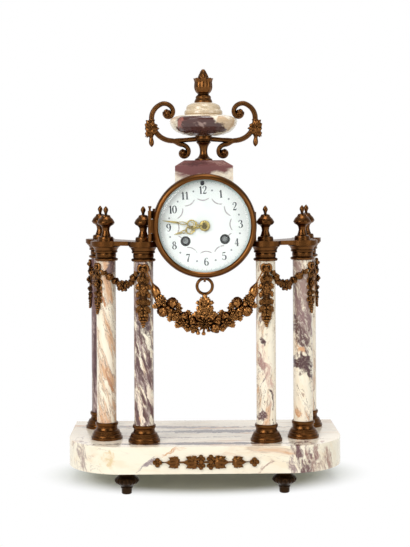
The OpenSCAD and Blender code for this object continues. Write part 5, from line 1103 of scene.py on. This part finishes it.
half = []
core = np.linspace(0.06, 1.0, 40)
half.append(rope(garland_run(core), 1.6 + 4.4 * np.sqrt(np.sin(np.pi * np.clip(core, 0, 0.98) / 1.5))))
half.append(bulb((-57.6, -46.2, 229.0), (-49.5, -48.4, 212.0), (0.9, 1.6, 3.2, 4.5, 4.6, 3.8, 2.0)))
half.append(bulb((-64.5, -53.2, 243.5), (-57.0, -46.8, 228.0), (0.9, 1.1, 1.2, 1.2, 1.1, 1.0)))
bud_at = np.array([(-34.9, -50.2, 206.2), (-45.1, -51.0, 197.6), (-21.9, -53.4, 192.2), (-13.2, -54.0, 186.6),
                   (-39.4, -50.2, 199.0)])
half.append(placed(rosebud(3, 1.3), bud_at, turning([20, 70, 110, 160, 40]),
                   np.array([(0.5, -1, 0.5), (-0.5, -1, -0.3), (0.2, -1, 0.3), (0.1, -1, 0.2), (0, -1, 0)]),
                   np.array([6.7, 6.9, 5.2, 5.4, 5.6])))
half += bunch([(-47.2, -52.2, 209.2), (-30.8, -53.8, 191.4), (-12.0, -54.6, 179.0)],
              [(-0.3, -1, 0.2), (-0.1, -1, -0.1), (-0.1, -1, -0.5)], [6.4, 5.6, 5.4], layers=3)
half += bunch([(-22.6, -54.6, 184.4), (-28.4, -53.0, 198.8), (-46.2, -53.4, 208.4)],
              [(-0.1, -1, -0.4), (0.1, -1, 0.4), (-0.4, -1, 0.2)], [6.6, 5.4, 7.4], petals=6, sharp=1.1)
leaf_at = np.array([
    (-49.0, -51.0, 205.0), (-43.6, -51.2, 205.0), (-37.0, -52.0, 194.6), (-30.0, -52.6, 199.4),
    (-24.0, -53.2, 188.0), (-16.6, -53.2, 191.6), (-17.6, -53.6, 182.6), (-27.0, -53.4, 186.6),
    (-8.0, -54.0, 192.2), (-51.4, -49.8, 212.6)])
leaf_size = np.array([(8.5, 9, 8), (8.5, 9, 8), (9, 9, 8), (8, 9, 8), (9, 9, 8), (8, 9, 8), (8, 9, 8),
                      (8.5, 9, 8), (10, 9, 8), (7.5, 8, 8)])
half.append(placed(leaf(3, 0.42), leaf_at, turning([205, 100, 262, 72, 20, 108, 255, 238, 190, 70]),
                   (0, -1, 0.1), leaf_size))
middle = bunch([(-1.0, -57.0, 184.6)], [(0, -1, -0.2)], [9.0], petals=11, layers=3, sharp=0.8)
middle.append(placed(rosebud(), [(10.6, -55.4, 179.4), (-7.2, -54.8, 191.0), (7.8, -54.6, 190.6)], (0, 0, 1),
                     [(0.2, -1, -0.5), (-0.3, -1, 0.3), (0.3, -1, 0.3)], np.array([5.6, 4.4, 4.6])))
bell_at = [(-7.2, -55.4, 179.0), (-1.4, -56.0, 178.4), (3.6, -55.6, 180.6)]
bell_low = [(-7.6, -55.4, 172.4), (-1.6, -56.0, 171.9), (4.2, -55.6, 175.4)]
middle += [bulb(a, b, (0.9, 1.1, 1.3, 2.0, 2.3, 1.5)) for a, b in zip(bell_at, bell_low)]
middle.append(bulb((0, -49.0, 216.0), (0, -51.4, 178.0), (2.6, 3.0, 3.6, 5.6, 6.8, 7.2, 6.6, 4.0)))
fan_count = [2, 2, 4, 3]
fan_at = np.repeat([(0, -51.4, 211.6), (0, -52.6, 207.5), (0, -54.0, 203.0), (0, -54.8, 198.6)], fan_count,
                   axis=0)
fan_size = np.repeat([(7.5, 8, 8), (10.4, 9, 8), (10.4, 11, 8), (14.5, 12, 8)], fan_count, axis=0)
middle.append(placed(leaf(3, 0.36), fan_at, turning([214, 326, 189, 351, 200, 340, 235, 305, 205, 335, 270]),
                     (0, -1, 0.25), fan_size))
middle += bunch([(0, -55.2, 206.0), (0, -57.0, 197.6)], [FRONT, FRONT], [3.4, 4.4])
fitted("rose_garland", both_sides(half) + middle, cast_bronze, "case", "bronze", "main_garland")
dress(chased_bronze, "garland_ring")

# The drops and side garlands: cast mounts nailed to the shafts. Each drop is a crimped ground with a bow, two
# flowers in it, and a bunch that narrows to a tip; thin ropes of flowers swing from one shaft to the next.
SHAFT_R = 10.65
DROP_TOP = 249.6
ROPE_TOP, ROPE_FALL, ROPE_SAG = 241.0, 12.0, 5.0
ROPE_REACH = SHAFT_R + 1.6
LEFT_SHAFTS = np.array([(-66.25, -41.8), (-107.9, -24.0), (-118.7, 40.3)])
DROPS = list(zip(LEFT_SHAFTS, (0, -50, -90), (69.5, 57.0, 57.0), (6.5, 5.0, 5.0)))


def on_drop(drop, beside, down, proud):
    """Place on a drop, by shares of its half-width and height from its top and by how far it stands proud of
    the stone. Gives the points and the directions out of the stone."""
    shaft, turned, tall, wide = drop
    angle = np.radians(turned) + wide * np.asarray(beside, float) / (SHAFT_R + 2)
    out = np.stack([np.sin(angle), -np.cos(angle), 0 * angle], axis=-1)
    axis = np.stack([0 * angle + shaft[0], 0 * angle + shaft[1], DROP_TOP - tall * np.asarray(down, float)],
                    axis=-1)
    return out * (SHAFT_R + np.asarray(proud, float))[:, None] + axis, out


def down_shaft(turned, degrees):
    """Directions along the stone: degrees from straight down towards the drop's own right."""
    angle = np.radians(np.asarray(degrees, float))
    right = np.array([math.cos(math.radians(turned)), math.sin(math.radians(turned)), 0])
    return np.sin(angle)[:, None] * right - np.cos(angle)[:, None] * np.array([0, 0, 1.0])


def drop_bed(drop):
    """Cast ground of a drop: a crimped skin on the shaft whose half-width follows the drop's outline."""
    steps = np.linspace(0.14, 0.99, 60)
    half = np.interp(steps, [0.14, 0.22, 0.34, 0.44, 0.53, 0.62, 0.74, 0.84, 0.92, 0.99],
                     [0.35, 0.70, 0.80, 0.92, 0.72, 0.86, 0.94, 0.78, 0.45, 0.08])
    fall, turn = np.meshgrid(steps, round_steps(24), indexing="ij")
    across = np.cos(turn)
    edge = half[:, None] * (1 + 0.10 * np.sin(46 * fall))
    crimp = 0.5 * np.abs(np.sin(34 * fall + 3.0 * np.abs(across)))
    proud = np.where(np.sin(turn) > 0, 0.3 + (0.4 + crimp) * np.sin(turn), 0.2)
    skin, _ = on_drop(drop, (edge * across).ravel(), fall.ravel(), proud.ravel())
    return skin.reshape(*fall.shape, 3)


def hanging_drop(drop):
    """What stands on a drop's ground: a bow of two loops, ribbons, a large rosebud among leaves, small
    flowers, and a bunch of berries that ends in a tip, each at a share of the drop's height and
    half-width."""
    _, turned, _, wide = drop
    shapes = []
    ease = np.linspace(0, 1, 30)
    loop = 2 * np.pi * ease
    shapes.append(rope(on_drop(drop, 0 * ease, 0.02 + 0.94 * ease, 1.0 + 0 * ease)[0], 1.2 + 0 * ease))
    for hand in (-1, 1):
        run, _ = on_drop(drop, hand * (0.40 - 0.40 * np.cos(loop)),
                         0.095 - 0.055 * np.sin(loop) - 0.02 * ease, 1.5 + 0.5 * ease)
        shapes.append(rope(run, 1.15 + 0.55 * np.sin(np.pi * ease)))
        run, _ = on_drop(drop, hand * (0.1 + 0.85 * ease ** 0.7), 0.13 + 0.20 * ease,
                         1.2 + 0.4 * np.sin(np.pi * ease))
        shapes.append(rope(run, 0.95 - 0.45 * ease))
    at, out = on_drop(drop, [-0.42, 0.42], [0.10, 0.09], [1.4, 1.4])
    shapes += bunch(at, out, [0.30 * wide] * 2)
    at, out = on_drop(drop, [0, 0], [0.105, 0.42], [2.4, 1.8])
    shapes.append(placed(rosebud(3, 1.6), at, (0, 0, 1), out,
                         np.array([(0.50 * wide, 0.56 * wide, 2.6), (0.62 * wide, 0.62 * wide, 3.9)])))
    shapes += bunch(at[1:], out[1:], [1.0 * wide], petals=6)
    at, out = on_drop(drop, [-.55, .55, -.1, -.72, .72, -.62, .62, 0, -.45, .45],
                      [.27, .28, .25, .60, .61, .70, .71, .60, .79, .80],
                      [2.0, 2.0, 2.6, 2.1, 2.1, 2.1, 2.1, 2.7, 2.2, 2.2])
    shapes += bunch(at, out, wide * np.array([.48, .48, .46, .52, .52, .50, .50, .52, .46, .46]), layers=3)
    at, out = on_drop(drop, [-.3, .3, -.75, .75, -.85, .85, -.7, .7, -.75, .75, -.35, .35],
                      [.20, .21, .32, .33, .44, .45, .56, .57, .68, .69, .80, .81], [0.8] * 12)
    lean = [-42, 42, -30, 30, -16, 16, -24, 24, -28, 28, -16, 16]
    shapes.append(placed(leaf(3, 0.42, 0.2, 0.1), at, down_shaft(turned, lean), out,
                         (1.15 * wide, 1.0 * wide, 0.9 * wide)))
    row = np.repeat([0.70, 0.755, 0.81, 0.86, 0.905, 0.945, 0.98], [4, 4, 4, 3, 3, 2, 1])
    spot = np.array([-.75, -.25, .25, .75, -.82, -.28, .28, .82, -.66, -.2, .24, .66, -.44, 0, .44,
                     -.3, .02, .3, -.14, .14, 0])
    at, out = on_drop(drop, spot, row, 2.2 - 0.9 * np.abs(spot) - 0.5 * (row - 0.7) / 0.28)
    shapes.append(placed(berry(), at, (0, 0, 1), out, (0.27 * wide, 0.27 * wide, 0.27 * wide)))
    return shapes


def side_rope(first, first_turns, second, second_turns):
    """Rope of flowers between two shafts: it lies round the first, hangs free and lies round the second.
    Flowers stand on it in pairs, front and back, larger in the middle."""
    lies = []
    for shaft, turns, fall in ((first, first_turns, (0, 0.5, 1.0)), (second, second_turns, (1.0, 0.5, 0))):
        angle = np.radians(np.array(turns, float))
        lies.append(np.stack([shaft[0] + ROPE_REACH * np.sin(angle), shaft[1] - ROPE_REACH * np.cos(angle),
                              ROPE_TOP - ROPE_FALL * np.array(fall)], axis=-1))
    middle = 0.5 * (lies[0][-1] + lies[1][0]) - (0, 0, ROPE_SAG)
    run = smooth_run(np.concatenate([lies[0], middle[None], lies[1]]), 40)
    shapes = [rope(run, 1.2 + 1.2 * np.sin(np.pi * np.linspace(0, 1, 40)))]
    at = run[[3, 8, 13, 16, 20, 23, 26, 31, 36]]
    size = np.array([3.2, 4.2, 4.0, 3.6, 4.6, 3.6, 4.0, 4.2, 3.2])
    buds, rest = [1, 2, 6, 7], [0, 3, 5, 8]
    across = lies[1][0] - lies[0][-1]
    away = np.array([across[1], -across[0], 0]) / np.linalg.norm(across[:2])
    away = away * np.sign(away @ np.array([-0.5, -1, 0]))
    for out in (-away, away):
        shapes.append(placed(rosebud(), at[buds] + 1.2 * out, across, out, size[buds]))
        shapes += bunch(at[rest] + 1.2 * out, out + 0 * at[rest], size[rest])
        shapes += bunch(at[4:5] + 1.4 * out, out[None], [6.6], layers=3)
    return shapes


# The drops' ground is darkened as painted shade, for the shadow between the flowers that stand on it.
fitted("drop_beds", both_sides([drop_bed(drop) for drop in DROPS]), bronze("shaded_bed_bronze", gold=0.1, dark=0.75),
       "case", "bronze")
left = [shape for drop in DROPS for shape in hanging_drop(drop)]
left += side_rope(LEFT_SHAFTS[0], (-22, -52, -80), LEFT_SHAFTS[1], (58, 14, -28))
left += side_rope(LEFT_SHAFTS[1], (-75, -110, -140), LEFT_SHAFTS[2], (-20, -45, -70))
# The drop flowers' bronze has a gold share on its raised parts: partly wear, partly painted highlight.
drop_bronze = bronze("drop_bronze", size=80.0, hollow=0.0045, gold=1.2, dent=0.25, edge=0.0004, dark=0.10)
fitted("shaft_drops", both_sides(left), drop_bronze, "case", "bronze", "column_garlands")
